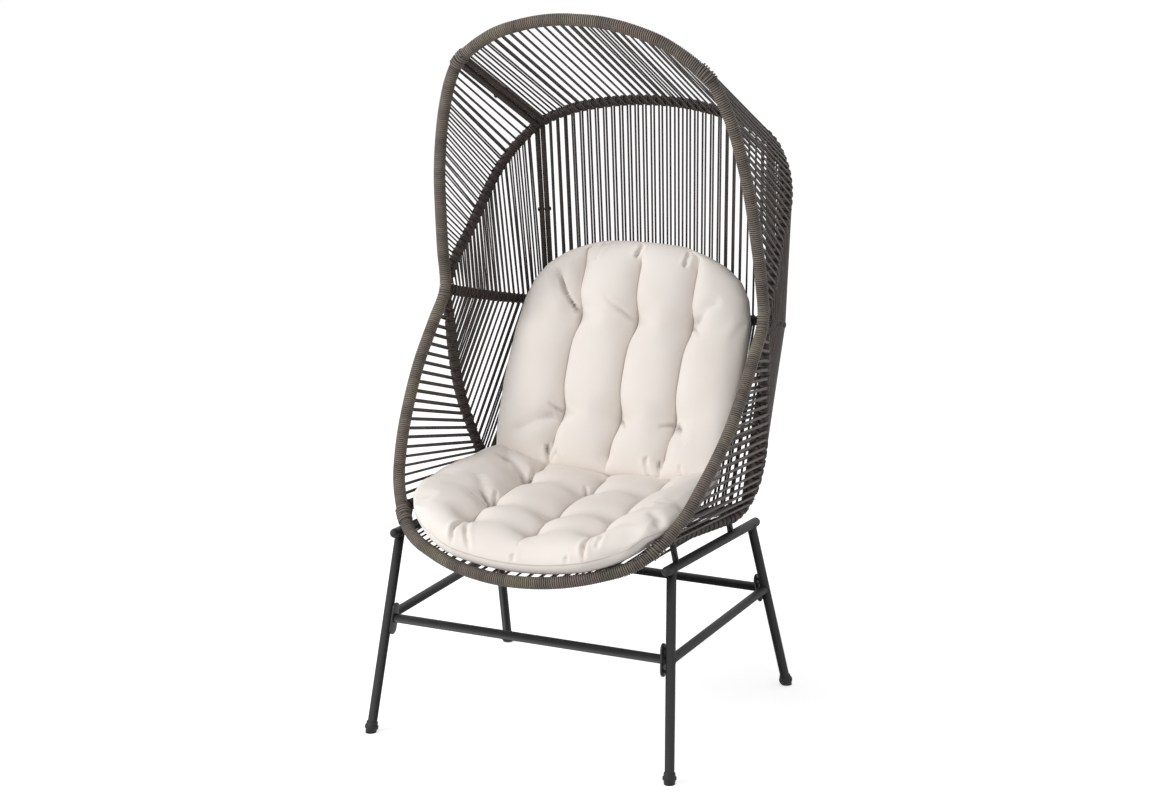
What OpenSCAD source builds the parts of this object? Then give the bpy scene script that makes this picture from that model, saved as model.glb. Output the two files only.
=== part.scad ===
/* [Shell outline] */
// Width across the waist joints, rod axis to rod axis
waist_w = 736; // [680:4:800]
// How far the waist joints sit behind the middle of the base
waist_y = 88; // [70:2:110]
// Height of the waist joints
waist_z = 870; // [840:5:900]
// Height of the rim axis at the crown
crown_z = 1477; // [1420:1:1540]
// Place of the crown, front to back
crown_y = -22; // [-50:2:10]
// Height of the rim axis at the front lip
lip_z = 389; // [384:1:400]
// Place of the front lip, front to back
lip_y = -351; // [-375:1:-340]
// Height of the rear arch at its middle
arch_z = 1257; // [1220:1:1300]
// Place of the rear arch at its middle, front to back
arch_y = 391; // [370:1:415]
// Height of the waist bar at the middle of the back
back_z = 785; // [765:1:810]
// Place of the waist bar at the middle of the back
back_y = 418; // [400:1:440]
// Rearmost point of the lower rods, front to back
heel_y = 160; // [150:1:175]
// Height of the foot of the lower rods
heel_z = 438; // [430:1:450]
// Distance between the feet of the two lower rods
heel_w = 604; // [570:2:640]
// Height of the rear cross bar at its middle
tail_z = 400; // [392:1:412]
// Place of the rear cross bar at its middle
tail_y = 172; // [160:1:190]

/* [Shell panels] */
// Length of rim that belongs to the canopy, seam to seam
crown_arc = 600; // [520:5:700]
// Length of rim that belongs to the seat, seam to seam
lip_arc = 640; // [600:5:700]
// Length of the rear arch between its two corner joints
arch_arc = 572; // [500:2:640]
// Length of the waist bar between its two corner joints
waist_arc = 536; // [480:2:600]

/* [Shell tubes] */
// Diameter of the wrapped front rim
rim_d = 26; // [22:1:30]
// Diameter of the arch, waist and lower rods
rod_d = 16; // [12:1:18]
// Diameter of the straight bars along the panel edges
bar_d = 12; // [8:1:13]
// Clearance between tubes that meet
tube_gap = 0.3; // [0.2:0.05:0.5]
// Diameter of the bolts that join two bars side by side
panel_bolt_d = 5; // [4:0.5:6]
// Height of such a bolt's head
panel_bolt_head = 3; // [2:0.5:4]

/* [Woven strands] */
// Width of a strand along its rod
strand_w = 5; // [3:0.5:6]
// Thickness of a strand
strand_t = 3; // [2:0.5:4]
// Clearance between a strand and its rod
strand_gap = 0.3; // [0.15:0.05:0.4]
// Distance of a strand from the middle of the rim
rim_spread = 5; // [3:0.5:6]
// Strands in each layer of a middle panel
middle_strands = 24; // [18:1:28]
// Strands in each layer of a side panel
side_strands = 18; // [12:1:20]
// Bare length of rod beside each waist joint
joint_clear = 48; // [44:1:70]
// Bare length of rod at the end of a panel
edge_clear = 20; // [14:1:40]
// Bare length of lower rod above that joint, for the corner strands
heel_clear = 30; // [24:2:50]
// Lower rod left bare of side strands above the rear cross bar
low_clear = 54; // [40:2:80]

/* [Base] */
// Distance between left and right feet
foot_w = 684; // [640:2:740]
// Distance between front and rear feet
foot_l = 640; // [580:2:700]
// Distance between the two top rails
rail_w = 616; // [600:2:630]
// Height of the top rails over the front legs
rail_front_z = 423; // [416:1:428]
// Height of the top rails over the rear legs
rail_rear_z = 399; // [390:1:404]
// Place of the front leg's top, front to back
front_leg_y = -237; // [-260:1:-225]
// Place of the rear leg's top, front to back
rear_leg_y = 184; // [160:1:200]
// Length of rail past each leg
rail_overhang = 25; // [15:1:40]
// Height of the stretchers
stretcher_z = 243; // [180:1:300]
// Diameter of legs and top rails
leg_d = 20; // [18:1:25]
// Diameter of the stretchers
stretcher_d = 19; // [14:1:20]
// Wall of the base tubes
tube_wall = 1.5; // [1:0.1:2.5]
// Length of a plug inside the end of a top rail
plug_l = 14; // [8:1:20]
// Clearance between a plug and its rail
plug_gap = 0.2; // [0.1:0.05:0.4]

/* [Base fittings] */
// Length of a flange plate
plate_l = 68; // [60:1:80]
// Width of a flange plate
plate_w = 25; // [20:1:30]
// Thickness of a flange plate
plate_t = 4; // [3:0.5:6]
// Distance between the two bolts of a plate
plate_bolt_gap = 46; // [40:1:50]
// Diameter of a plate bolt
plate_bolt_d = 6; // [5:0.5:8]
// Diameter of a bolt head
bolt_head_d = 11; // [9:0.5:13]
// Height of a bolt head
bolt_head_h = 4; // [3:0.5:6]
// Clearance round a bolt
bolt_gap = 0.2; // [0.15:0.05:0.4]
// Width of a bracket between rail and shell
bracket_w = 12; // [8:1:18]
// Thickness of a bracket
bracket_t = 6; // [4:0.5:8]
// Hole in a bracket
bracket_hole = 5; // [3:0.5:6]
// Place of the front brackets, front to back
bracket_front_y = -205; // [-225:1:-150]
// Place of the rear brackets, front to back
bracket_rear_y = 80; // [40:1:90]
// Diameter of a foot cap at its ring
cap_d = 29; // [27:0.5:34]
// Wall of a foot cap
cap_wall = 2; // [1.5:0.25:3]
// Height of a foot cap
cap_h = 24; // [20:1:32]
// Thickness of the floor of a foot cap
cap_floor = 7; // [5:0.5:9]
// Clearance between a leg and its foot cap
cap_gap = 0.2; // [0.1:0.05:0.4]

/* [Cushion] */
// Clearance between the seat pad and the heel of the shell on each side
seat_side_clear = 7; // [5:1:30]
// Thickness of the seat pad at its puffs
seat_pad_t = 88; // [70:1:94]
// Front edge of the seat pad
seat_pad_front = -342; // [-345:1:-320]
// Rear edge of the seat pad
seat_pad_rear = 152; // [140:1:154]
// Height of the seat pad above the seat strands
seat_pad_lift = 0.3; // [0.2:0.1:2]
// Share of the seat pad's thickness above its edge line
seat_pad_over = 0.58; // [0.5:0.01:0.62]
// How far the seat pad's front corners lie behind its front edge
seat_pad_bow = 34; // [20:2:50]
// How far the seat pad climbs at its sides
seat_pad_climb = 26; // [0:2:34]
// Width of the back pad
back_pad_w = 548; // [480:4:560]
// Thickness of the back pad at its puffs
back_pad_t = 120; // [90:1:122]
// Share of the back pad's thickness in front of its edge line
back_pad_over = 0.4; // [0.4:0.01:0.55]
// Length of the back pad
back_pad_l = 515; // [460:5:530]
// How far the back pad's lower corners curl forward
back_pad_curl = 34; // [0:2:44]
// Lean of the back pad from upright
back_pad_lean = 23.5; // [21:0.5:25]
// Depth of the sewn channels
channel_depth = 26; // [14:1:30]
// Depth of the tufts
tuft_depth = 20; // [10:1:22]
// How far the back pad's foot nests behind the seat pad's puffs
fold_nest = 8.3; // [4:0.1:8.5]
// How far the back pad's foot stands in front of the seat pad's rear edge
fold_step = 14; // [8:1:14]
// Clearance between the pads at the fold
fold_gap = 0.4; // [0.3:0.05:0.6]

/* [Hidden] */

rim_sides = 12;
rod_sides = 10;
ring_step = 24;      // length of tube between two rings
bend_step = 18;      // the same on the tightly bent lower rods
spline_steps = 6;    // points between two of an outline's own points
side_bar_lift = 22;  // distance along the rim from the lip seam to the lower rod's end
side_strand_clear = 26;  // and from there to the first side strand
tail_joint_lift = 44;  // distance from the straight part to the cross bar's joint
joint_spread = 1;      // more room where curved rods meet
heel_spread = 3.4;
back_bolt_share = 0.48;  // place of the bolts along the bars
roof_bolt_share = 0.5;
fine = 48;

frame_colour = [0.21, 0.21, 0.21];
rim_colour = [0.44, 0.41, 0.38];
strand_colour = [0.24, 0.21, 0.19];
cushion_colour = [0.92, 0.90, 0.87];
cap_colour = [0.15, 0.15, 0.15];
bolt_colour = [0.3, 0.3, 0.3];

// ---- paths ----------------------------------------------------------------

function unit(v) = v / norm(v);
function mix(a, b, t) = a + (b - a) * t;
function flip(p) = [-p[0], p[1], p[2]];
function reversed(p) = [for (i = [len(p) - 1:-1:0]) p[i]];

// Places between two corners of a box, each axis by its own share
function between(shares, a, b) =
    [for (s = shares) [mix(a[0], b[0], s[0]), mix(a[1], b[1], s[1]), mix(a[2], b[2], s[2])]];

// Smooth curve through points, with a phantom point past each end
function bend(a, b, c, d, t) =
    0.5 * (2 * b + (c - a) * t + (2 * a - 5 * b + 4 * c - d) * t * t
    + (3 * b - a - 3 * c + d) * t * t * t);
function smooth(p, before, after) =
    let (q = concat([before], p, [after]), n = len(p) - 1)
    concat([for (i = [0:n - 1], k = [0:spline_steps - 1])
        bend(q[i], q[i + 1], q[i + 2], q[i + 3], k / spline_steps)], [p[n]]);
function past_end(p) = 2 * p[len(p) - 1] - p[len(p) - 2];
function past_start(p) = 2 * p[0] - p[1];

// A curve is its points and the length from its start to each of them
function lengths(p, i = 0, sum = 0) =
    i == len(p) - 1 ? [sum]
    : concat([sum], lengths(p, i + 1, sum + norm(p[i + 1] - p[i])));
function curve(p) = [p, lengths(p)];
function curve_length(c) = c[1][len(c[1]) - 1];
function place_at(c, s) =
    let (last = len(c[0]) - 2, found = len([for (l = c[1]) if (l <= s) 1]) - 1,
        i = max(0, min(last, found)), step = c[1][i + 1] - c[1][i])
    mix(c[0][i], c[0][i + 1], (s - c[1][i]) / step);
function heading_at(c, s) = unit(place_at(c, s + 1) - place_at(c, s - 1));
function stretch_of(c, s0, s1, step) =
    let (n = ceil(abs(s1 - s0) / step)) [for (i = [0:n]) place_at(c, mix(s0, s1, i / n))];
// Both halves of a line of points that ends on the middle plane
function both_halves(p) = concat(p, [for (i = [len(p) - 2:-1:0]) flip(p[i])]);

// A tube's stations are places with their headings
function stations(c, s0, s1, step) =
    let (n = ceil(abs(s1 - s0) / step), way = s1 > s0 ? 1 : -1)
    [for (i = [0:n]) let (s = mix(s0, s1, i / n)) [place_at(c, s), way * heading_at(c, s)]];
// The last station stands on the middle plane and looks straight across it
function whole_stations(t) =
    let (n = len(t) - 1)
    concat([for (i = [0:n - 1]) t[i]], [[t[n][0], [sign(t[n][1][0]), 0, 0]]],
        [for (i = [n - 1:-1:0])
            [flip(t[i][0]), [t[i][1][0], -t[i][1][1], -t[i][1][2]]]]);

// ---- outline of the shell ------------------------------------------------

waist = [waist_w / 2, waist_y, waist_z];
crown = [0, crown_y, crown_z];
lip = [0, lip_y, lip_z];
arch_top = [0, arch_y, arch_z];
back_middle = [0, back_y, back_z];
seat_pad_w = heel_w - 2 * seat_side_clear;
heel = [heel_w / 2, heel_y, heel_z];
tail = [0, tail_y, tail_z];
inside = [0, 60, 850];  // a place inside the shell, which inner layers face

upper_rim_shares = [
    [0.005, 0.11, 0.148], [0.019, 0.255, 0.288], [0.038, 0.40, 0.422], [0.071, 0.527, 0.549],
    [0.117, 0.645, 0.669], [0.185, 0.773, 0.779], [0.272, 0.855, 0.853], [0.465, 0.945, 0.932],
    [0.647, 0.98, 0.972], [0.832, 1, 0.995], [1, 1, 1]];
lower_rim_shares = [
    [0, 0, 0], [-0.005, 0.116, 0.131], [-0.005, 0.264, 0.279], [0.014, 0.405, 0.432],
    [0.06, 0.558, 0.586], [0.136, 0.702, 0.744], [0.288, 0.845, 0.886], [0.484, 0.925, 0.946],
    [0.728, 0.982, 0.985], [1, 1, 1]];
arch_shares = [
    [0, 0, 0], [0.005, 0.152, 0.152], [0.033, 0.323, 0.297], [0.049, 0.502, 0.444],
    [0.079, 0.66, 0.589], [0.149, 0.789, 0.721], [0.269, 0.898, 0.845], [0.437, 0.954, 0.922],
    [0.625, 0.98, 0.966], [0.815, 0.997, 0.992], [1, 1, 1]];
waist_shares = [
    [0, 0, 0], [0.019, 0.242, 0.282], [0.068, 0.479, 0.529], [0.152, 0.706, 0.753],
    [0.283, 0.90, 0.906], [0.484, 0.97, 0.965], [0.742, 0.994, 0.988], [1, 1, 1]];
lower_rod_shares = [
    [0, 0, 0], [0.03, 0.208, 0.162], [0.076, 0.306, 0.324], [0.136, 0.458, 0.486],
    [0.273, 0.694, 0.644], [0.47, 0.889, 0.775], [0.697, 1, 0.887], [0.894, 0.722, 0.972],
    [1, 0.097, 1]];
side_bar_shares = [0.15, 0.35, 0.6, 0.8, 1];
tail_shares = [[0, 0, 0], [0.18, 0.35, 0.36], [0.42, 0.68, 0.70], [0.7, 0.93, 0.93], [1, 1, 1]];

// Right half of the rim, from the middle of the lip over the waist to the crown
lower_rim_points = reversed(between(lower_rim_shares, waist, lip));
upper_rim_points = between(upper_rim_shares, waist, crown);
rim_points = concat(lower_rim_points, upper_rim_points);
rim = curve(smooth(rim_points, flip(rim_points[1]), flip(rim_points[len(rim_points) - 2])));
rim_waist = rim[1][(len(lower_rim_points) - 1) * spline_steps];
rim_end = curve_length(rim);
lip_seam = lip_arc / 2;
crown_seam = rim_end - crown_arc / 2;

// A rod from the waist joint to the middle plane
function half_rod(shares, end) =
    let (p = between(shares, waist, end)) curve(smooth(p, past_start(p), flip(p[len(p) - 2])));
arch = half_rod(arch_shares, arch_top);
back = half_rod(waist_shares, back_middle);
arch_corner = curve_length(arch) - arch_arc / 2;
back_corner = curve_length(back) - waist_arc / 2;

// The lower rod bends forward at the heel and runs straight on to the rim
heel_points = between(lower_rod_shares, waist, heel);
side_bar_rear = heel_points[len(heel_points) - 1];
side_bar_front = place_at(rim, lip_seam + side_bar_lift);
lower_points = concat(heel_points,
    [for (t = side_bar_shares) mix(side_bar_rear, side_bar_front, t)]);
lower = curve(smooth(lower_points, past_start(lower_points), past_end(lower_points)));
side_bar_start = lower[1][len(heel_points) * spline_steps];
lower_end = curve_length(lower);
lower_joint = lower[1][(len(heel_points) - 1) * spline_steps] - tail_joint_lift;

tail_start = place_at(lower, lower_joint);
tail_points = between(tail_shares, tail_start, tail);
tail_rod = curve(smooth(tail_points, past_start(tail_points), flip(tail_points[3])));

// ---- tubes ------------------------------------------------------------------

function carried(t, v, i = 0) =
    let (m = unit(v - (v * t[i][1]) * t[i][1]))
    i == len(t) - 1 ? [m] : concat([m], carried(t, m, i + 1));
function ring_points(t, d, sides) =
    let (m = carried(t, abs(t[0][1][1]) < 0.9 ? [0, 1, 0] : [1, 0, 0]))
    [for (i = [0:len(t) - 1], k = [0:sides - 1])
        let (a = 360 * k / sides)
        t[i][0] + d / 2 * (cos(a) * m[i] + sin(a) * cross(t[i][1], m[i]))];
function skin_faces(rings, sides) = concat(
    [for (i = [0:rings - 2], k = [0:sides - 1])
        [i * sides + k, (i + 1) * sides + k, (i + 1) * sides + (k + 1) % sides]],
    [for (i = [0:rings - 2], k = [0:sides - 1])
        [i * sides + k, (i + 1) * sides + (k + 1) % sides, i * sides + (k + 1) % sides]],
    [for (k = [1:sides - 2]) [0, k, k + 1]],
    [for (k = [1:sides - 2])
        [(rings - 1) * sides, (rings - 1) * sides + k + 1, (rings - 1) * sides + k]]);

module tube(t, d, sides) {
    polyhedron(points = ring_points(t, d, sides), faces = skin_faces(len(t), sides));
}

// How far short of a tube's axis another ends: its flat end, of half width
// half, meets the tube at an angle. rise is its distance from the axis.
function butt(heading, way, half, reach, rise = 0) =
    let (c = abs(heading * way), s = sqrt(1 - c * c))
    (sqrt(pow(reach, 2) - pow(rise, 2)) + half * c) / s;
rim_reach = rim_d / 2 + tube_gap;
rod_reach = rod_d / 2 + tube_gap;
bar_reach = bar_d / 2 + tube_gap;

// Straight round bar between two places
module bar(a, b, d, sides = fine) {
    v = b - a;
    translate(a)
        rotate([0, acos(v[2] / norm(v)), atan2(v[1], v[0])])
            cylinder(d = d, h = norm(v), $fn = sides);
}

module hollow_bar(a, b, d) {
    along = unit(b - a);
    difference() {
        bar(a, b, d);
        bar(a - along, b + along, d - 2 * tube_wall);
    }
}

module mirrored(left) {
    if (left) mirror([1, 0, 0]) children();
    else children();
}

// ---- shell tubes --------------------------------------------------------------

module crown_rim() {
    color(rim_colour)
        tube(whole_stations(stations(rim, crown_seam + tube_gap / 2, rim_end, ring_step)),
            rim_d, rim_sides);
}

module lip_rim() {
    color(rim_colour)
        tube(whole_stations(stations(rim, lip_seam - tube_gap / 2, 0, ring_step)),
            rim_d, rim_sides);
}

module side_rim(left) {
    color(rim_colour) mirrored(left)
        tube(stations(rim, lip_seam + tube_gap / 2, crown_seam - tube_gap / 2, ring_step),
            rim_d, rim_sides);
}

// Two bars stand side by side along the edge between two panels. An edge is
// its two ends and the direction from one bar to the other.
function edge(c0, s0, c1, s1) =
    let (a = place_at(c0, s0), b = place_at(c1, s1), way = unit(b - a),
        h = heading_at(c0, s0) + heading_at(c1, s1))
    [a, b, unit(h - (h * way) * way)];
roof_edge = edge(rim, crown_seam, arch, arch_corner);
back_edge = edge(arch, arch_corner, back, back_corner);
function edge_way(e) = unit(e[1] - e[0]);
function beside(e, side) = side * (bar_d + tube_gap) / 2 * e[2];

// Length of rod that an edge's two bars take, on each side of the corner
function corner_cut(c, s) =
    let (k = abs(heading_at(c, s) * back_edge[2]))
    (bar_d + 1.5 * tube_gap + rod_d / 2 * sqrt(1 - k * k)) / k + joint_spread / 2;
arch_cut = corner_cut(arch, arch_corner);
back_cut = corner_cut(back, back_corner);

// Length of rod that the rim takes at the waist joint
function waist_cut(c) =
    joint_spread + max([for (h = [heading_at(rim, rim_waist - 8), heading_at(rim, rim_waist + 8)])
        let (way = unit(place_at(c, 40) - waist)) butt(h, way, rod_d / 2, rim_reach)
        * (abs(h * way) > 0.9 ? 0 : 1)]);

module rear_arch() {
    color(strand_colour)
        tube(whole_stations(stations(arch, arch_corner + arch_cut, curve_length(arch), ring_step)),
            rod_d, rod_sides);
}

module arch_side(left) {
    color(strand_colour) mirrored(left)
        tube(stations(arch, waist_cut(arch), arch_corner - arch_cut, ring_step),
            rod_d, rod_sides);
}

module waist_bar() {
    color(strand_colour)
        tube(whole_stations(stations(back, back_corner + back_cut, curve_length(back), ring_step)),
            rod_d, rod_sides);
}

module side_waist_bar(left) {
    color(strand_colour) mirrored(left)
        tube(stations(back, waist_cut(back), back_corner - back_cut, ring_step),
            rod_d, rod_sides);
}

module lower_rod(left) {
    end = lower_end - butt(heading_at(rim, lip_seam + side_bar_lift),
        heading_at(lower, lower_end - 10), rod_d / 2, rim_reach);
    color(strand_colour) mirrored(left)
        tube(concat(stations(lower, waist_cut(lower), side_bar_start, bend_step),
            stations(lower, side_bar_start + 3 * ring_step, end, 3 * ring_step)),
            rod_d, rod_sides);
}

module rear_cross_bar() {
    start = butt(heading_at(lower, lower_joint), heading_at(tail_rod, 5), rod_d / 2, rod_reach);
    color(strand_colour)
        tube(whole_stations(stations(tail_rod, start, curve_length(tail_rod), ring_step)),
            rod_d, rod_sides);
}

module roof_bar(left, side) {
    way = edge_way(roof_edge);
    h = heading_at(rim, crown_seam);
    start = butt(h, way, bar_d / 2, rim_reach)
        + side * (bar_d + tube_gap) / 2 * (h * way) / (h * roof_edge[2]) + joint_spread / 2;
    end = butt(edge_way(back_edge), way, bar_d / 2, bar_reach) + joint_spread;
    color(strand_colour) mirrored(left) translate(beside(roof_edge, side))
        bored(roof_edge, roof_bolt_share)
            bar(roof_edge[0] + start * way, roof_edge[1] - end * way, bar_d);
}

// The upright bars reach past the arch and the waist bar
module upright_bar(left, side) {
    way = edge_way(back_edge);
    color(strand_colour) mirrored(left) translate(beside(back_edge, side))
        bored(back_edge, back_bolt_share)
            bar(back_edge[0] - rod_d / 2 * way, back_edge[1] + rod_d / 2 * way, bar_d);
}

module lower_back_bar(left) {
    a = place_at(back, back_corner);
    b = place_at(lower, lower_joint);
    way = unit(b - a);
    start = butt(edge_way(back_edge), way, bar_d / 2, bar_reach);
    end = butt(heading_at(lower, lower_joint), way, bar_d / 2, rod_reach + heel_spread);
    color(strand_colour) mirrored(left) bar(a + start * way, b - end * way, bar_d);
}

// Where the lip and the rear cross bar pass a distance from the middle plane
function lookup_x(points, x) =
    let (y = [for (p = reversed(points)) [p[0], p[1]]], z = [for (p = reversed(points)) [p[0], p[2]]])
    [x, lookup(x, y), lookup(x, z)];
lip_points = reversed(stretch_of(rim, 0, lip_seam, 10));
tail_line = stretch_of(tail_rod, 0, curve_length(tail_rod), 10);
function rim_place_at_x(x) = lookup_x(lip_points, x);
function tail_place_at_x(x) = lookup_x(tail_line, x);

// ---- bolts through two bars side by side ---------------------------------------

module bored(e, share) {
    middle = mix(e[0], e[1], share);
    difference() {
        children();
        bar(middle - 2 * bar_d * e[2], middle + 2 * bar_d * e[2], panel_bolt_d + 2 * bolt_gap);
    }
}

module panel_bolt(e, share) {
    middle = mix(e[0], e[1], share);
    reach = (bar_d + tube_gap / 2 + bolt_gap) * e[2];
    head = panel_bolt_head * e[2];
    bar(middle - reach - head, middle + reach + head, panel_bolt_d);
    for (s = [-1, 1])
        bar(middle + s * reach, middle + s * (reach + head), 2 * panel_bolt_d);
}

module panel_bolts() {
    color(bolt_colour)
        for (left = [false, true]) mirrored(left) {
            panel_bolt(roof_edge, roof_bolt_share);
            panel_bolt(back_edge, back_bolt_share);
        }
}

// ---- strands ---------------------------------------------------------------------

// Direction from a place towards the inside of the shell, square to a strand
function inward(n, p) = unit(n) * (n * (inside - p) < 0 ? -1 : 1);

// Flat strand between two places, its width along the rods' mean heading
module strand(a, b, heading) {
    z = unit(b - a);
    x = unit(heading - (heading * z) * z);
    y = cross(z, x);
    multmatrix([
        [x[0], y[0], z[0], a[0]],
        [x[1], y[1], z[1], a[1]],
        [x[2], y[2], z[2], a[2]],
        [0, 0, 0, 1]])
        translate([-strand_w / 2, -strand_t / 2, 0])
            cube([strand_w, strand_t, norm(b - a)]);
}

// Strands between two curves, in an inner and an outer layer. Each layer's
// strands leave their rods half a step from the other layer's. Each curve has
// a range, and kept lists the stretches of the second curve left bare.
module strand_panel(from, from_range, to, to_range, count, from_rim, inner_first, kept = []) {
    for (layer = [1, -1]) {
        half_first = (layer == 1) == inner_first;
        for (i = [0:count - (half_first ? 1 : 2)]) {
            share = (i + (half_first ? 0.5 : 1)) / count;
            sa = mix(from_range[0], from_range[1], share);
            sb = mix(to_range[0], to_range[1], share);
            bare = len([for (k = kept) if (sb > k[0] && sb < k[1]) 1]) > 0;
            a = place_at(from, sa);
            b = place_at(to, sb);
            ha = heading_at(from, sa);
            hb = heading_at(to, sb);
            way = unit(b - a);
            width_way = unit((ha + hb) - ((ha + hb) * way) * way);
            na = layer * inward(cross(ha, way), a);
            nb = layer * inward(cross(hb, way), b);
            start = from_rim
                ? a + butt(ha, way, strand_w / 2, rim_d / 2 + strand_gap,
                    rim_spread - strand_t / 2) * way + rim_spread * na
                : a + rod_side(width_way, na) * na;
            if (!bare) strand(start, b + rod_side(width_way, nb) * nb, width_way);
        }
    }
}

// Distance from a rod's axis to the middle of a strand that is twisted on it
function rod_side(width_way, n) =
    let (k = abs(width_way * n))
    rod_d / 2 + strand_gap + strand_w / 2 * k + strand_t / 2 * sqrt(1 - k * k);

function whole(c, s0) = curve(both_halves(stretch_of(c, s0, curve_length(c), 6)));
crown_line = whole(rim, crown_seam);
arch_line = whole(arch, arch_corner);
waist_line = whole(back, back_corner);
lip_line = curve(both_halves(reversed(stretch_of(rim, 0, lip_seam, 6))));
tail_line_curve = whole(tail_rod, 0);
function inset(c) = [edge_clear, curve_length(c) - edge_clear];

module canopy_strands() {
    color(strand_colour)
        strand_panel(crown_line, inset(crown_line), arch_line, inset(arch_line),
            middle_strands, true, true);
}

module upper_back_strands() {
    color(strand_colour)
        strand_panel(arch_line, inset(arch_line), waist_line, inset(waist_line),
            middle_strands, false, false);
}

module lower_back_strands() {
    color(strand_colour)
        strand_panel(waist_line, inset(waist_line), tail_line_curve, inset(tail_line_curve),
            middle_strands, false, true);
}

module seat_strands() {
    color(strand_colour)
        strand_panel(lip_line, inset(lip_line), tail_line_curve, inset(tail_line_curve),
            middle_strands, true, false);
}

arch_range = [joint_clear, arch_corner - edge_clear];
back_range = [joint_clear, back_corner - edge_clear];
lower_range = [joint_clear, lower_joint - heel_clear];

module wing_strands(left) {
    color(strand_colour) mirrored(left)
        strand_panel(rim, [rim_waist + joint_clear, crown_seam - edge_clear],
            arch, arch_range, side_strands, true, true);
}

module corner_strands(left) {
    color(strand_colour) mirrored(left)
        strand_panel(arch, arch_range, back, back_range, side_strands, false, false);
}

module lower_corner_strands(left) {
    color(strand_colour) mirrored(left)
        strand_panel(back, back_range, lower, lower_range, side_strands, false, true);
}

// The lower side strands run from the rim down to the heel, and share the
// lower rod with the corner strands, step for step
side_range = [rim_waist - joint_clear, lip_seam + side_bar_lift + side_strand_clear];

module side_strands_panel(left) {
    color(strand_colour) mirrored(left)
        strand_panel(rim, side_range, lower, lower_range, side_strands, true, false,
            [[lower_joint - low_clear, lower_joint]]);
}

// ---- base --------------------------------------------------------------------

rail_x = rail_w / 2;
foot_x = foot_w / 2;
foot_y = foot_l / 2;
rail_slope = (rail_rear_z - rail_front_z) / (rear_leg_y - front_leg_y);
function rail_place(y) = [rail_x, y, rail_front_z + rail_slope * (y - front_leg_y)];
function leg_top(front) = rail_place(front ? front_leg_y : rear_leg_y);
function leg_foot(front) = [foot_x, front ? -foot_y : foot_y, 0];
function leg_way(front) = unit(leg_top(front) - leg_foot(front));
function leg_place(front, z) =
    mix(leg_foot(front), leg_top(front), z / leg_top(front)[2]);
rail_front = rail_place(front_leg_y - rail_overhang);
rail_rear = rail_place(rear_leg_y + rail_overhang);

module top_rail(left) {
    color(frame_colour) mirrored(left) hollow_bar(rail_front, rail_rear, leg_d);
}

// A domed plug, with a spigot inside the rail
module rail_plug(place, way) {
    lean = acos(way[2]);
    turn = atan2(way[1], way[0]);
    translate(place) rotate([0, lean, turn]) {
        difference() {
            sphere(d = leg_d, $fn = fine);
            translate([-leg_d, -leg_d, -2 * leg_d]) cube([2 * leg_d, 2 * leg_d, 2 * leg_d]);
        }
        translate([0, 0, -plug_l])
            cylinder(d = leg_d - 2 * tube_wall - 2 * plug_gap, h = plug_l + 2, $fn = fine);
    }
}

module rail_plugs() {
    along = unit(rail_rear - rail_front);
    color(cap_colour)
        for (left = [false, true]) mirrored(left) {
            rail_plug(rail_front, -along);
            rail_plug(rail_rear, along);
        }
}

module leg(left, front) {
    way = leg_way(front);
    start = leg_foot(front) + (cap_floor + cap_gap) / way[2] * way;
    color(frame_colour) mirrored(left)
        difference() {
            bar(start, leg_top(front) - leg_d / 4 * way, leg_d);
            bar(start - way, leg_top(front), leg_d - 2 * tube_wall);
            bar(rail_front, rail_rear, leg_d);
        }
}

module side_stretcher(left) {
    a = leg_place(true, stretcher_z);
    b = leg_place(false, stretcher_z);
    color(frame_colour) mirrored(left)
        difference() {
            hollow_bar(a, b, stretcher_d);
            bar(leg_foot(true), leg_top(true), leg_d);
            bar(leg_foot(false), leg_top(false), leg_d);
        }
}

// Frame on a leg at the height of the stretchers: Z runs up the leg and X
// points away from the middle plane, square to the leg.
module on_leg(front) {
    z = leg_way(front);
    x = unit([1, 0, 0] - z[0] * z);
    y = cross(z, x);
    o = leg_place(front, stretcher_z);
    multmatrix([
        [x[0], y[0], z[0], o[0]],
        [x[1], y[1], z[1], o[1]],
        [x[2], y[2], z[2], o[2]],
        [0, 0, 0, 1]])
        children();
}

plate_face = -leg_d / 2 - plate_t;  // inner face of a plate, in the leg's frame

module cross_stretcher(front) {
    o = leg_place(front, stretcher_z);
    color(frame_colour)
        difference() {
            hollow_bar([-o[0], o[1], o[2]], o, stretcher_d);
            for (left = [false, true]) mirrored(left) on_leg(front)
                translate([plate_face, -leg_d * 2, -leg_d * 2]) cube([leg_d * 3, leg_d * 4, leg_d * 4]);
        }
}

module plate() {
    run = plate_l - plate_w;
    translate([plate_face, 0, 0]) rotate([0, 90, 0])
        difference() {
            union() {
                translate([-run / 2, -plate_w / 2, 0]) cube([run, plate_w, plate_t]);
                for (s = [-1, 1]) translate([s * run / 2, 0, 0])
                    cylinder(d = plate_w, h = plate_t, $fn = fine);
            }
            for (s = [-1, 1]) translate([s * plate_bolt_gap / 2, 0, -1])
                cylinder(d = plate_bolt_d + 2 * bolt_gap, h = plate_t + 2, $fn = fine);
        }
}

module stretcher_plates() {
    color(frame_colour)
        for (left = [false, true], front = [false, true]) mirrored(left) on_leg(front) plate();
}

// The bolts end in the gap between the plate and the leg's wall
module plate_bolts() {
    color(bolt_colour)
        for (left = [false, true], front = [false, true]) mirrored(left) on_leg(front)
            for (s = [-1, 1]) translate([plate_face, 0, s * plate_bolt_gap / 2])
                rotate([0, 90, 0]) {
                    cylinder(d = plate_bolt_d, h = plate_t, $fn = fine);
                    translate([0, 0, -bolt_head_h])
                        cylinder(d = bolt_head_d, h = bolt_head_h, $fn = fine);
                }
}

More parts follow.
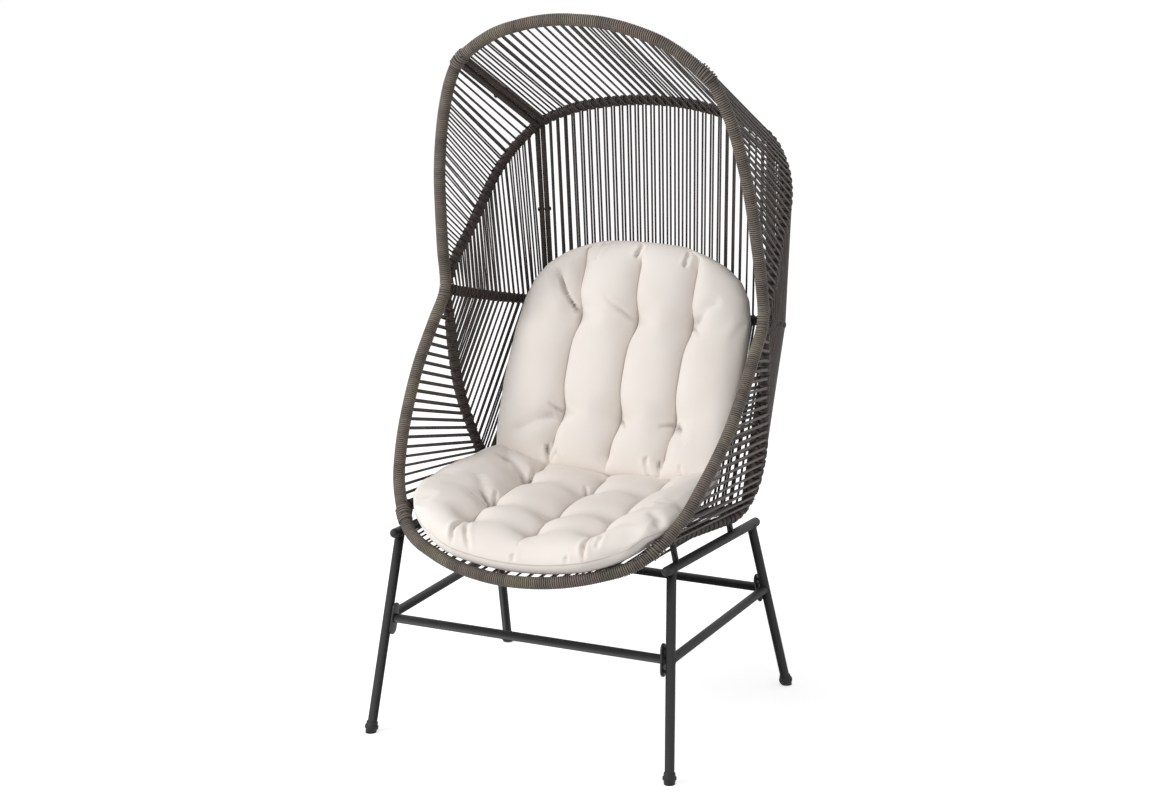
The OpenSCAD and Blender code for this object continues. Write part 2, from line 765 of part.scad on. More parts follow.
module foot_cap(left, front) {
    way = leg_way(front);
    outer = leg_d / 2 + cap_gap + cap_wall;
    inner = leg_d / 2 + cap_gap;
    floor_top = cap_floor / way[2];
    ring_low = cap_floor + 1;
    ring_high = ring_low + 8;
    seam_turn = 97;  // keeps the seam off the sole's long axis
    color(cap_colour) mirrored(left)
        difference() {
            translate(leg_foot(front)) rotate([0, acos(way[2]), atan2(way[1], way[0])])
                rotate([0, 0, seam_turn]) rotate_extrude($fn = fine)
                    polygon([[0, -cap_d], [outer, -cap_d], [outer, ring_low], [cap_d / 2, ring_low],
                        [cap_d / 2, ring_high], [outer, ring_high], [outer, cap_h], [inner, cap_h],
                        [inner, floor_top], [0, floor_top]]);
            translate([foot_x - 3 * cap_d, leg_foot(front)[1] - 3 * cap_d, -6 * cap_d])
                cube([6 * cap_d, 6 * cap_d, 6 * cap_d]);
        }
}

// ---- brackets between the rails and the shell ------------------------------------

// Length along the lower rod at which its straight part passes y
low_stations = [for (s = [lower_end:-4:lower_joint]) [place_at(lower, s)[1], s]];

module bracket(y) {
    low = rail_place(y);
    s = lookup(y, low_stations);
    high = place_at(lower, s);
    way = heading_at(lower, s);
    lean = atan2(high[0] - low[0], high[2] - low[2]);
    length = norm([high[0] - low[0], 0, high[2] - low[2]]);
    difference() {
        translate(low) rotate([0, lean, 0])
            difference() {
                translate([-bracket_t / 2, -bracket_w / 2, 0]) cube([bracket_t, bracket_w, length]);
                translate([-bracket_t, 0, (length + leg_d / 2 - rod_d / 2) / 2]) rotate([0, 90, 0])
                    cylinder(d = bracket_hole, h = 2 * bracket_t, $fn = fine);
            }
        bar(rail_front, rail_rear, leg_d);
        bar(high - 3 * bracket_w * way, high + 3 * bracket_w * way, rod_d + 2 * strand_gap);
    }
}

module shell_brackets() {
    color(frame_colour)
        for (left = [false, true], y = [bracket_front_y, bracket_rear_y])
            mirrored(left) bracket(y);
}

// ---- cushion ---------------------------------------------------------------------

pad_across = 28;  // steps across a pad
pad_along = 20;   // steps along a pad
seam_places = [-0.48, 0, 0.48];

// Share of a pad's thickness left at t, full inside and none at the edge
function crowned(t, power) = sqrt(max(0, 1 - pow(abs(t), power)));
function dip(t, width) = exp(-pow(t / width, 2));
function channel(u) = max([for (s = seam_places) dip(u - s, 0.09)]);
function tuft(u, v, rows) =
    max([for (s = seam_places, r = rows) dip(u - s, 0.13) * dip(v - r, 0.09)]);

// A pad is skinned from closed rings. Each ring runs over the face from one
// side to the other and back under it.
module pad(middle, up, half_width, thick, over, rows, v0, v1) {
    rings = [for (j = [0:pad_along])
        let (v = mix(v0, v1, (1 - cos(180 * j / pad_along)) / 2), w = half_width(v))
        concat(
            [for (i = [0:pad_across])
                let (u = -cos(180 * i / pad_across),
                    rise = crowned(2 * v - 1, 5) * crowned(u, 4),
                    sewn = channel_depth * channel(u) + tuft_depth * tuft(u, v, rows))
                middle(u, v, w) + up * rise * (thick * over - sewn * min(1, 8 * (1 - abs(2 * v - 1))))],
            [for (i = [pad_across - 1:-1:1])
                let (u = -cos(180 * i / pad_across),
                    fall = crowned(2 * v - 1, 8) * crowned(u, 6))
                middle(u, v, w) - up * fall * thick * (1 - over)])];
    polyhedron(points = [for (r = rings, p = r) p],
        faces = skin_faces(pad_along + 1, 2 * pad_across));
}

// The seat pad follows the dished seat strands and climbs at its sides
function seat_floor(x, y) =
    let (f = rim_place_at_x(min(abs(x), heel_w / 2 - 32)), r = tail_place_at_x(min(abs(x), heel_w / 2 - 12)),
        t = (y - f[1]) / (r[1] - f[1]))
    mix(f[2] + rim_spread + strand_t / 2, r[2] + rod_d / 2 + strand_gap + strand_t, t);
seat_outline = [
    [0, 0.66], [0.03, 0.76], [0.1, 0.88], [0.2, 0.965], [0.32, 1], [0.5, 0.985], [0.7, 0.94],
    [0.85, 0.9], [0.94, 0.86], [1, 0.8]];
seat_half = function (v) seat_pad_w / 2 * lookup(v, seat_outline);
seat_middle = function (u, v, w)
    let (x = u * w, y = mix(seat_pad_front + seat_pad_bow * u * u, seat_pad_rear, v))
    [x, y, seat_floor(x, y) + seat_pad_lift + seat_pad_t * (1 - seat_pad_over)
        + seat_pad_climb * pow(u, 4) * v];

module seat_cushion() {
    color(cushion_colour)
        pad(seat_middle, [0, 0, 1], seat_half, seat_pad_t, seat_pad_over, [0.16, 0.72], 0.006, 0.985);
}

back_outline = [
    [0, 0.94], [0.1, 0.97], [0.3, 1], [0.55, 0.995], [0.7, 0.97], [0.8, 0.92], [0.88, 0.83],
    [0.94, 0.7], [0.98, 0.55], [1, 0.42]];
back_half = function (v) back_pad_w / 2 * lookup(v, back_outline);
back_foot = [0, seat_pad_rear - fold_step,
    seat_floor(0, seat_pad_rear) + seat_pad_lift + seat_pad_t - fold_nest + fold_gap];
back_up = [0, sin(back_pad_lean), cos(back_pad_lean)];
back_out = [0, -cos(back_pad_lean), sin(back_pad_lean)];
back_middle_place = function (u, v, w)
    back_foot + [u * w, 0, 0] + (back_pad_l * v - 14 * u * u * v * v) * back_up
    + back_pad_curl * u * u * (1 - v) * back_out + back_pad_curl * pow(u, 4) * (1 - v) * [0, 0, 1];

module back_cushion() {
    color(cushion_colour)
        pad(back_middle_place, back_out, back_half, back_pad_t, back_pad_over,
            [0.3, 0.7], 0.01, 0.99);
}

// ---- nodes ---------------------------------------------------------------------

// The part's origin is below the middle of its box
front_reach = lip_y - rim_d / 2;
rear_reach = back_y + rod_d / 2 + strand_gap + strand_t;
module centred() {
    translate([0, -(front_reach + rear_reach) / 2, 0]) children();
}

centred() top_rail(true);  // left_top_rail
centred() top_rail(false);  // right_top_rail
centred() rail_plugs();
centred() leg(true, true);  // left_front_leg
centred() leg(false, true);  // right_front_leg
centred() leg(true, false);  // left_rear_leg
centred() leg(false, false);  // right_rear_leg
centred() side_stretcher(true);  // left_side_stretcher
centred() side_stretcher(false);  // right_side_stretcher
centred() cross_stretcher(true);  // front_stretcher
centred() cross_stretcher(false);  // rear_stretcher
centred() stretcher_plates();
centred() plate_bolts();
centred() foot_cap(true, true);  // left_front_foot_cap
centred() foot_cap(false, true);  // right_front_foot_cap
centred() foot_cap(true, false);  // left_rear_foot_cap
centred() foot_cap(false, false);  // right_rear_foot_cap
centred() shell_brackets();
centred() crown_rim();
centred() side_rim(true);  // left_side_rim
centred() side_rim(false);  // right_side_rim
centred() lip_rim();
centred() rear_arch();
centred() arch_side(true);  // left_arch_side
centred() arch_side(false);  // right_arch_side
centred() waist_bar();
centred() side_waist_bar(true);  // left_waist_bar
centred() side_waist_bar(false);  // right_waist_bar
centred() lower_rod(true);  // left_lower_rod
centred() lower_rod(false);  // right_lower_rod
centred() rear_cross_bar();
centred() roof_bar(true, 1);  // left_canopy_bar
centred() roof_bar(false, 1);  // right_canopy_bar
centred() roof_bar(true, -1);  // left_wing_bar
centred() roof_bar(false, -1);  // right_wing_bar
centred() upright_bar(true, 1);  // left_back_bar
centred() upright_bar(false, 1);  // right_back_bar
centred() upright_bar(true, -1);  // left_corner_bar
centred() upright_bar(false, -1);  // right_corner_bar
centred() lower_back_bar(true);  // left_lower_back_bar
centred() lower_back_bar(false);  // right_lower_back_bar
centred() panel_bolts();
centred() canopy_strands();
centred() wing_strands(true);  // left_wing_strands
centred() wing_strands(false);  // right_wing_strands
centred() upper_back_strands();
centred() corner_strands(true);  // left_corner_strands
centred() corner_strands(false);  // right_corner_strands
centred() lower_back_strands();
centred() lower_corner_strands(true);  // left_lower_corner_strands
centred() lower_corner_strands(false);  // right_lower_corner_strands
centred() side_strands_panel(true);  // left_side_strands
centred() side_strands_panel(false);  // right_side_strands
centred() seat_strands();
centred() seat_cushion();
centred() back_cushion();
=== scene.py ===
# %% [markdown]
# # Canopied egg chair
# The chair is a shell of wrapped tube on a four-legged base of black tube, with
# a stretched web of strands in twelve panels and one loose tufted cushion. The
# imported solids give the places. What shows is built here: wound rims and rods,
# one long strand per panel, welded base tubes and a cushion inflated by
# simulation. Lengths are in millimetres until `world` turns them into metres.

# %% Load the frame
import math

import bmesh
import bpy
import numpy as np
from mathutils import Matrix, Vector

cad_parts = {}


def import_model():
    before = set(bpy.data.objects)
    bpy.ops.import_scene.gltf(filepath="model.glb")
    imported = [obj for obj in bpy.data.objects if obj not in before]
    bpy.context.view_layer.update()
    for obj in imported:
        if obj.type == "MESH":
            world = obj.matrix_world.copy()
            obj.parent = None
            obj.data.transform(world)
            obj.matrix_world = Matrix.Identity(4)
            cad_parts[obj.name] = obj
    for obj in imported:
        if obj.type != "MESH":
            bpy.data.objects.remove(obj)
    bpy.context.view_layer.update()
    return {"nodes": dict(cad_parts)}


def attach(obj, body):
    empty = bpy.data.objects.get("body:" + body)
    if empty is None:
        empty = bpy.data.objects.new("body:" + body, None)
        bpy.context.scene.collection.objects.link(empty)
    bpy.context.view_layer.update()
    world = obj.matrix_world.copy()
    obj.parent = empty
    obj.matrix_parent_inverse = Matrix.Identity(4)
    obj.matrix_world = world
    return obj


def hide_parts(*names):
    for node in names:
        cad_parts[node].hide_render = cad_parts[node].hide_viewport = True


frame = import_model()
print("nodes", len(frame["nodes"]), "quick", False)

# %% [markdown]
# ## Node trees
# Both the materials and the geometry node groups are filled in by the same
# small helper, so that each cell can state its nodes in a few lines.


# %% Node tree helper
class Tree:
    """A node tree whose nodes are added and linked in one call each."""

    def __init__(self, tree):
        self.tree = tree

    def link(self, out, into):
        self.tree.links.new(out, into)

    def add(self, kind, inputs=None, **settings):
        node = self.tree.nodes.new(kind)
        for name, value in settings.items():
            setattr(node, name, value)
        for key, value in (inputs or {}).items():
            if isinstance(value, bpy.types.NodeSocket):
                self.link(value, node.inputs[key])
            else:
                node.inputs[key].default_value = value
        return node

    def geo(self, kind, inputs=None, **settings):
        return self.add("GeometryNode" + kind, inputs, **settings).outputs[0]

    def shade(self, kind, inputs=None, **settings):
        return self.add("ShaderNode" + kind, inputs, **settings).outputs[0]

    def math(self, operation, *values):
        return self.shade("Math", dict(enumerate(values)), operation=operation)

    def vector(self, operation, a, b):
        key = "Scale" if operation == "SCALE" else 1
        return self.shade("VectorMath", {0: a, key: b}, operation=operation)

    def place(self):
        return self.add("ShaderNodeTexCoord").outputs["Object"]

    def attribute(self, name):
        return self.add("ShaderNodeAttribute", attribute_name=name).outputs["Fac"]

    def noise(self, place, scale, detail):
        return self.shade("TexNoise", {"Vector": place, "Scale": scale, "Detail": detail})

    def noise_along(self, run, scale, seed, detail=1.0):
        """Noise that changes along one length only."""
        return self.shade("TexNoise", {"W": self.math("MULTIPLY_ADD", run, scale, seed),
                                       "Scale": 1.0, "Detail": detail}, noise_dimensions="1D")

    def ranged(self, value, low, high, at_low, at_high, kind="LINEAR"):
        return self.shade("MapRange", {"Value": value, 1: low, 2: high, 3: at_low, 4: at_high},
                          interpolation_type=kind)

    def ramp(self, factor, *stops):
        node = self.add("ShaderNodeValToRGB", {0: factor})
        for element, (place, tone) in zip(node.color_ramp.elements, stops):
            element.position, element.color = place, tone
        return node.outputs[0]

    def mix(self, factor, a, b, blend="MIX"):
        return self.add("ShaderNodeMix", {0: factor, 6: a, 7: b}, data_type="RGBA",
                        blend_type=blend).outputs[2]


def colour(*screen):
    """A colour of the screen, 0 to 255, as the linear colour that shaders take."""
    tones = [c / 255 for c in screen]
    return (*[c / 12.92 if c <= 0.04045 else ((c + 0.055) / 1.055) ** 2.4 for c in tones], 1)


# %% [markdown]
# ## Routes
# The shell's curves are smooth lines through given places. Each place is a
# share of the way from the waist corner to the curve's end, per axis, as in the
# solids' source, so both models follow one line. Only the right half is drawn:
# the left half is its mirror image.

# %% Places and shares
WAIST = np.array([368, 88, 870.0])
CROWN, LIP = np.array([0, -22, 1477.0]), np.array([0, -351, 389.0])
ARCH_TOP, BACK_MIDDLE = np.array([0, 391, 1257.0]), np.array([0, 418, 785.0])
HEEL, TAIL = np.array([302, 160, 438.0]), np.array([0, 172, 400.0])
INSIDE = np.array([0, 60, 850.0])
SHIFT = np.array([0, -32.65, 0])  # from the drawing's middle to the frame's origin
RIM_R, ROD_R, BAR_R = 13.0, 8.0, 6.0
SIDES = ((1, "right"), (-1, "left"))

UPPER_RIM = [
    [0.005, 0.11, 0.148], [0.019, 0.255, 0.288], [0.038, 0.40, 0.422], [0.071, 0.527, 0.549],
    [0.117, 0.645, 0.669], [0.185, 0.773, 0.779], [0.272, 0.855, 0.853], [0.465, 0.945, 0.932],
    [0.647, 0.98, 0.972], [0.832, 1, 0.995], [1, 1, 1]]
LOWER_RIM = [
    [0, 0, 0], [-0.005, 0.116, 0.131], [-0.005, 0.264, 0.279], [0.014, 0.405, 0.432],
    [0.06, 0.558, 0.586], [0.136, 0.702, 0.744], [0.288, 0.845, 0.886], [0.484, 0.925, 0.946],
    [0.728, 0.982, 0.985], [1, 1, 1]]
ARCH = [
    [0, 0, 0], [0.005, 0.152, 0.152], [0.033, 0.323, 0.297], [0.049, 0.502, 0.444],
    [0.079, 0.66, 0.589], [0.149, 0.789, 0.721], [0.269, 0.898, 0.845], [0.437, 0.954, 0.922],
    [0.625, 0.98, 0.966], [0.815, 0.997, 0.992], [1, 1, 1]]
BACK = [
    [0, 0, 0], [0.019, 0.242, 0.282], [0.068, 0.479, 0.529], [0.152, 0.706, 0.753],
    [0.283, 0.90, 0.906], [0.484, 0.97, 0.965], [0.742, 0.994, 0.988], [1, 1, 1]]
LOWER = [
    [0, 0, 0], [0.03, 0.208, 0.162], [0.076, 0.306, 0.324], [0.136, 0.458, 0.486],
    [0.273, 0.694, 0.644], [0.47, 0.889, 0.775], [0.697, 1, 0.887], [0.894, 0.722, 0.972],
    [1, 0.097, 1]]
TAIL_ROD = [[0, 0, 0], [0.18, 0.35, 0.36], [0.42, 0.68, 0.70], [0.7, 0.93, 0.93], [1, 1, 1]]


# %% Smooth routes
def world(points):
    """Places in millimetres as metres in the frame."""
    return (np.asarray(points, float).reshape(-1, 3) + SHIFT) / 1000


def unit(v):
    v = np.asarray(v, float)
    return v / np.linalg.norm(v, axis=-1, keepdims=True)


def between(shares, start, end):
    return [start + np.array(s) * (end - start) for s in shares]


def flip(p):
    return np.asarray(p) * (-1, 1, 1)


def smooth(points, before, after, steps=6):
    """A Catmull-Rom line through points, as dense places."""
    p = [np.asarray(q, float) for q in (before, *points, after)]
    line = []
    for a, b, c, d in zip(p, p[1:], p[2:], p[3:]):
        for t in np.arange(steps) / steps:
            line.append((2 * b + (c - a) * t + (2 * a - 5 * b + 4 * c - d) * t * t
                         + (3 * b - a - 3 * c + d) * t ** 3) / 2)
    return np.array(line + [p[-2]])


class Route:
    """A line of places that is read by the length run along it."""

    def __init__(self, points):
        self.p = np.asarray(points, float)
        steps = np.linalg.norm(np.diff(self.p, axis=0), axis=1)
        self.s = np.concatenate([[0], np.cumsum(steps)])
        self.length = self.s[-1]

    def at(self, s):
        return np.stack([np.interp(s, self.s, self.p[:, k]) for k in range(3)], -1)

    def way(self, s, reach=5):
        return unit(self.at(np.minimum(s + reach, self.length)) - self.at(np.maximum(s - reach, 0)))

    def part(self, a, b, step=7):
        return self.at(np.linspace(a, b, max(2, int(abs(b - a) / step) + 1)))


def both_halves(half):
    """A half that ends on the middle plane, with its mirror image after it."""
    return np.concatenate([half, flip(half[-2::-1])])


def half_rod(shares, end):
    p = between(shares, WAIST, end)
    return Route(smooth(p, 2 * p[0] - p[1], flip(p[-2])))


low, high = between(LOWER_RIM, WAIST, LIP)[::-1], between(UPPER_RIM, WAIST, CROWN)
rim_points = low + high
rim = Route(smooth(rim_points, flip(rim_points[1]), flip(rim_points[-2])))
lip_seam, crown_seam = 320, rim.length - 300
arch, back = half_rod(ARCH, ARCH_TOP), half_rod(BACK, BACK_MIDDLE)
arch_corner, back_corner = arch.length - 286, back.length - 268

heel_points = between(LOWER, WAIST, HEEL)
side_end = rim.at(lip_seam + 22)
lower_points = heel_points + [heel_points[-1] + t * (side_end - heel_points[-1])
                              for t in (0.15, 0.35, 0.6, 0.8, 1)]
lower = Route(smooth(lower_points, 2 * lower_points[0] - lower_points[1],
                     2 * lower_points[-1] - lower_points[-2]))
lower_joint = lower.s[(len(heel_points) - 1) * 6] - 44
tail_points = between(TAIL_ROD, lower.at(lower_joint), TAIL)
tail_rod = Route(smooth(tail_points, 2 * tail_points[0] - tail_points[1], flip(tail_points[3])))
print("rim", round(rim.length), "arch", round(arch.length), "back", round(back.length),
      "lower", round(lower.length))

# %% [markdown]
# ## Wound tubes
# Rim, rods and bars are steel tube wound with strand, so they are wound here
# too: a helix runs round the tube and a flattened profile follows it. A painted
# pattern of rings would be quicker, but its outline and shadows would be
# smooth. The turns sink in a notch wherever a panel's strand passes round the
# rod, which leaves the dark rods in lumps of one strand pitch.

# %% Winding node group
INPUTS = {"Core Radius": 0.007, "Lay Radius": 0.008, "Pitch": 0.005, "Strand Width": 0.005,
          "Strand Height": 0.002, "Turn Points": 14.0, "Notch": 0.0, "Notch Pitch": 0.02,
          "Notch Start": 0.0, "Unevenness": 0.0002, "Seed": 1.0}
NOTCH_FLOOR, NOTCH_END = 0.0015, 0.006  # half widths of a notch at its floor and at its top
DEEPEST = 0.003  # a notch of this depth gets the full painted shade
HULL_STEP, HULL_SIDES = 0.008, 16


def new_group(name, values):
    group = bpy.data.node_groups.new(name, "GeometryNodeTree")
    face = group.interface
    face.new_socket("Geometry", in_out="INPUT", socket_type="NodeSocketGeometry")
    for key, value in values.items():
        socket = face.new_socket(key, in_out="INPUT", socket_type="NodeSocketFloat")
        socket.default_value = value
    face.new_socket("Material", in_out="INPUT", socket_type="NodeSocketMaterial")
    face.new_socket("Geometry", in_out="OUTPUT", socket_type="NodeSocketGeometry")
    t = Tree(group)
    return group, t, t.add("NodeGroupInput").outputs


def stored(t, geometry, name, value):
    return t.geo("StoreNamedAttribute", {"Geometry": geometry, "Name": name, "Value": value},
                 data_type="FLOAT")


def turned(t, curve, normal):
    return t.geo("SetCurveNormal", {"Curve": curve, "Normal": normal}, mode="FREE")


def swept(t, curve, profile):
    return t.geo("CurveToMesh", {"Curve": curve, "Fill Caps": True, "Profile Curve": profile})


def flat_profile(t, ins, sides):
    circle = t.geo("CurvePrimitiveCircle", {"Resolution": sides, "Radius": 0.5})
    scale = t.shade("CombineXYZ", {0: ins["Strand Height"], 1: ins["Strand Width"], 2: 1.0})
    return t.geo("Transform", {"Geometry": circle, "Scale": scale})


def finished(t, geometry, material):
    """Ends a group: real geometry with its material."""
    real = t.geo("RealizeInstances", {0: geometry})
    soft = t.geo("SetShadeSmooth", {"Geometry": real})
    last = t.geo("SetMaterial", {"Geometry": soft, "Material": material})
    t.link(last, t.add("NodeGroupOutput").inputs[0])


winding, t, ins = new_group("winding", INPUTS)
line = t.geo("MeshToCurve", {0: ins["Geometry"]})
length = t.geo("CurveLength", {0: line})
turns = t.math("DIVIDE", length, ins["Pitch"])
dense = t.geo("ResampleCurve", {0: line, "Count": t.math("MULTIPLY", turns, ins["Turn Points"])})
run = t.add("GeometryNodeSplineParameter").outputs["Length"]
capture = t.add("GeometryNodeCaptureAttribute", domain="POINT")
for key, kind, value in (("normal", "VECTOR", t.geo("InputNormal")),
                         ("tangent", "VECTOR", t.geo("InputTangent")), ("run", "FLOAT", run)):
    capture.capture_items.new(kind, key)
    t.link(value, capture.inputs[key])
t.link(dense, capture.inputs[0])
got = capture.outputs
turn = t.math("DIVIDE", got["run"], ins["Pitch"])
angle = t.math("MULTIPLY_ADD", turn, math.tau, ins["Seed"])
side = t.vector("CROSS_PRODUCT", got["tangent"], got["normal"])
radial = t.vector("ADD", t.vector("SCALE", got["normal"], t.math("COSINE", angle)),
                  t.vector("SCALE", side, t.math("SINE", angle)))
from_notch = t.math("PINGPONG", t.math("SUBTRACT", got["run"], ins["Notch Start"]),
                    t.math("MULTIPLY", ins["Notch Pitch"], 0.5))
notch = t.ranged(from_notch, NOTCH_FLOOR, NOTCH_END, ins["Notch"], 0.0, "SMOOTHSTEP")
rough = t.noise_along(got["run"], 260.0, ins["Seed"])
uneven = t.math("MULTIPLY", t.math("SUBTRACT", rough, 0.5), ins["Unevenness"])
reach = t.math("ADD", t.math("SUBTRACT", ins["Lay Radius"], notch), uneven)
helix = t.geo("SetPosition",
              {"Geometry": got["Geometry"], "Offset": t.vector("SCALE", radial, reach)})
helix = stored(t, turned(t, helix, radial), "run", got["run"])
# the notch depth is stored for the strand materials, which paint shade into the notches
helix = stored(t, helix, "deep", t.math("DIVIDE", notch, DEEPEST))
wound = swept(t, helix, flat_profile(t, ins, 6))
coarse = t.geo("ResampleCurve", {0: line, "Count": t.math("DIVIDE", length, HULL_STEP)})
# the core between the turns is stored at full depth, so it is painted in full shade
hull = stored(t, stored(t, coarse, "run", run), "deep", 1.0)
core = swept(t, hull, t.geo("CurvePrimitiveCircle",
                            {"Resolution": HULL_SIDES, "Radius": ins["Core Radius"]}))
whole = t.add("GeometryNodeJoinGeometry")
t.link(core, whole.inputs[0])
t.link(wound, whole.inputs[0])
finished(t, whole.outputs[0], ins["Material"])
print("winding group", len(winding.nodes), "nodes")

# %% [markdown]
# The panels' strands need no winding of their own. Their guide already runs
# over and round the rods, and carries the direction its flat side faces.

# %% Strand node group
strand_group, t, ins = new_group("strand", {"Strand Width": 0.005, "Strand Height": 0.003})
line = t.geo("MeshToCurve", {0: ins["Geometry"]})
facing = t.geo("InputNamedAttribute", {"Name": "facing"}, data_type="FLOAT_VECTOR")
line = stored(t, turned(t, line, facing), "run",
              t.add("GeometryNodeSplineParameter").outputs["Length"])
finished(t, swept(t, line, flat_profile(t, ins, 8)), ins["Material"])


# %% Guides and finished pieces
def placed(name, data):
    """A new object in the scene."""
    piece = bpy.data.objects.new(name, data)
    bpy.context.scene.collection.objects.link(piece)
    return piece


def guide(name, points, facing=None):
    """A chain of edges for a node group to follow."""
    mesh = bpy.data.meshes.new(name)
    places = world(points)
    mesh.from_pydata(places.tolist(), [(i, i + 1) for i in range(len(places) - 1)], [])
    if facing is not None:
        attribute = mesh.attributes.new("facing", "FLOAT_VECTOR", "POINT")
        attribute.data.foreach_set("vector", np.asarray(facing, np.float32).ravel())
    return placed(name, mesh)


def grow(piece, group, material, **values):
    """Runs a node group on a guide and keeps the result as a plain mesh."""
    modifier = piece.modifiers.new(group.name, "NODES")
    modifier.node_group = group
    names = {s.name: s.identifier for s in group.interface.items_tree
             if s.item_type == "SOCKET" and s.in_out == "INPUT"}
    modifier[names["Material"]] = material
    for key, value in values.items():
        modifier[names[key.replace("_", " ")]] = float(value)
    source = piece.evaluated_get(bpy.context.evaluated_depsgraph_get())
    mesh, before = bpy.data.meshes.new_from_object(source), piece.data
    piece.modifiers.clear()
    piece.data = mesh
    bpy.data.meshes.remove(before)
    return piece


def outward(shape):
    bmesh.ops.recalc_face_normals(shape, faces=shape.faces)


def joined(name, pieces):
    """One mesh of several, with outward faces."""
    piece = pieces[0]
    if len(pieces) > 1:
        with bpy.context.temp_override(active_object=piece, object=piece, selected_objects=pieces,
                                       selected_editable_objects=pieces):
            bpy.ops.object.join()
    piece.name = piece.data.name = name
    shape = bmesh.new()
    shape.from_mesh(piece.data)
    outward(shape)
    shape.to_mesh(piece.data)
    shape.free()
    return piece


def settle(piece, node, body="chair"):
    """Puts a finished piece on its body in place of its solids."""
    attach(piece, body)
    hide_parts(node)


# %% [markdown]
# ## Materials
# The wrap on the rim is a grey-brown strand whose colour drifts every few
# centimetres, as batches of woven strand do, with a little more drift from turn
# to turn. The rods and panels use one darker strand. Both have the low sheen
# and fine lengthwise grain of extruded plastic.


# %% Strand materials
def surface(name, roughness, **constants):
    material = bpy.data.materials.new(name)
    material.use_nodes = True
    shader = material.node_tree.nodes["Principled BSDF"]
    shader.inputs["Roughness"].default_value = roughness
    for key, value in constants.items():
        shader.inputs[key.replace("_", " ")].default_value = value
    return material, Tree(material.node_tree), shader.inputs


def bumped(t, looks, height, strength, distance):
    t.link(t.shade("Bump", {"Height": height, "Strength": strength, "Distance": distance}),
           looks["Normal"])


def strand_material(name, dark, light, roughness, patches=()):
    """A woven strand whose tone drifts along the run, with an odd turn lighter."""
    material, t, looks = surface(name, roughness, Specular_IOR_Level=0.35)
    run = t.attribute("run")
    tone = t.noise_along(run, 22.0, 3.0, 2.0)
    base = t.ramp(t.math("MULTIPLY_ADD", t.math("SUBTRACT", tone, 0.5), 2.0, 0.5),
                  (0.0, dark), (1.0, light))
    for seed, tint, low, strong in patches:
        spot = t.noise_along(run, 9.0, seed)
        base = t.mix(t.ranged(spot, low, low + 0.06, 0.0, strong), base, tint)
    each = t.noise_along(run, 330.0, 7.0)
    grain = t.noise(t.place(), 900.0, 2.0)
    shade = t.math("MULTIPLY_ADD", each, 0.5, t.math("MULTIPLY_ADD", grain, 0.4, 0.55))
    grey = t.shade("CombineColor", {0: shade, 1: shade, 2: shade})
    # painted shade: notched turns and the core between the turns are mixed towards near black
    base = t.mix(t.math("MULTIPLY", t.attribute("deep"), 0.8), base, colour(22, 19, 18))
    t.link(t.mix(1.0, base, grey, "MULTIPLY"), looks["Base Color"])
    bumped(t, looks, grain, 0.25, 0.0004)
    return material


rim_wrap = strand_material(
    "rim_wrap", colour(98, 91, 85), colour(126, 117, 108), 0.62,
    [(11.0, colour(132, 124, 107), 0.57, 0.6), (41.0, colour(122, 108, 101), 0.55, 0.7)])
rod_wrap = strand_material("rod_wrap", colour(58, 51, 48), colour(74, 65, 60), 0.55)
strand_cord = strand_material("strand_cord", colour(56, 48, 45), colour(76, 66, 61), 0.5)

# %% [markdown]
# The base is black powder coat: nearly one colour, with a fine orange-peel
# texture that breaks up its highlights, and a little dust in the hollows of the
# noise. Caps are dull plastic, and the bolts are blackened steel.


# %% Base materials
def coat_material(name, dark, light, roughness, scale, strength, **constants):
    material, t, looks = surface(name, roughness, Specular_IOR_Level=0.4, **constants)
    place = t.place()
    broad, fine = t.noise(place, 14.0, 3.0), t.noise(place, scale, 1.0)
    both = t.math("MULTIPLY_ADD", fine, 0.35, t.math("MULTIPLY", broad, 0.65))
    t.link(t.ramp(both, (0.3, dark), (0.7, light)), looks["Base Color"])
    t.link(t.math("MULTIPLY_ADD", fine, 0.16, roughness - 0.08), looks["Roughness"])
    bumped(t, looks, fine, strength, 0.0003)
    return material


powder_coat = coat_material("powder_coat", colour(31, 30, 31), colour(41, 40, 41), 0.5, 1100.0,
                            0.25)
cap_plastic = coat_material("cap_plastic", colour(27, 27, 28), colour(36, 36, 37), 0.62, 600.0,
                            0.15)
bolt_steel = coat_material("bolt_steel", colour(58, 57, 56), colour(84, 82, 80), 0.36, 1500.0,
                           0.1, Metallic=0.6)

# %% [markdown]
# ## Rim
# Four lengths of tube meet at seams. Each length is wound end to end, and its
# last turns are doubled, which leaves a raised collar on each side of a seam.


# %% Rim lengths
def wrapped(name, points, material, collars=(), notch=0.0, every=20.0, start=0.0, uneven=0.15,
            **size):
    """A wound tube through points, with a raised collar at each named end."""
    def lay(part, places, seed, uneven, lift=0.0, coarse=1.0, **more):
        core, height = size["radius"] + lift - size["height"], size["height"]
        return grow(guide(part, places), winding, material, Core_Radius=core / 1000,
                    Lay_Radius=(core + height / 2) / 1000, Pitch=size["pitch"] * coarse / 1000,
                    Strand_Width=size["width"] * coarse / 1000, Strand_Height=height / 1000,
                    Turn_Points=size["sides"], Unevenness=uneven / 1000, Seed=seed, **more)

    route = Route(points)
    pieces = [lay(name, points, len(name), uneven, Notch=notch / 1000, Notch_Pitch=every / 1000,
                  Notch_Start=start / 1000)]
    for a, b, lift in collars:
        a, b = (s if s >= 0 else route.length + s for s in (a, b))
        pieces.append(lay(name + "_collar", route.part(a, b, 3), a % 7, 0.3, lift, 1.25))
    return joined(name, pieces)


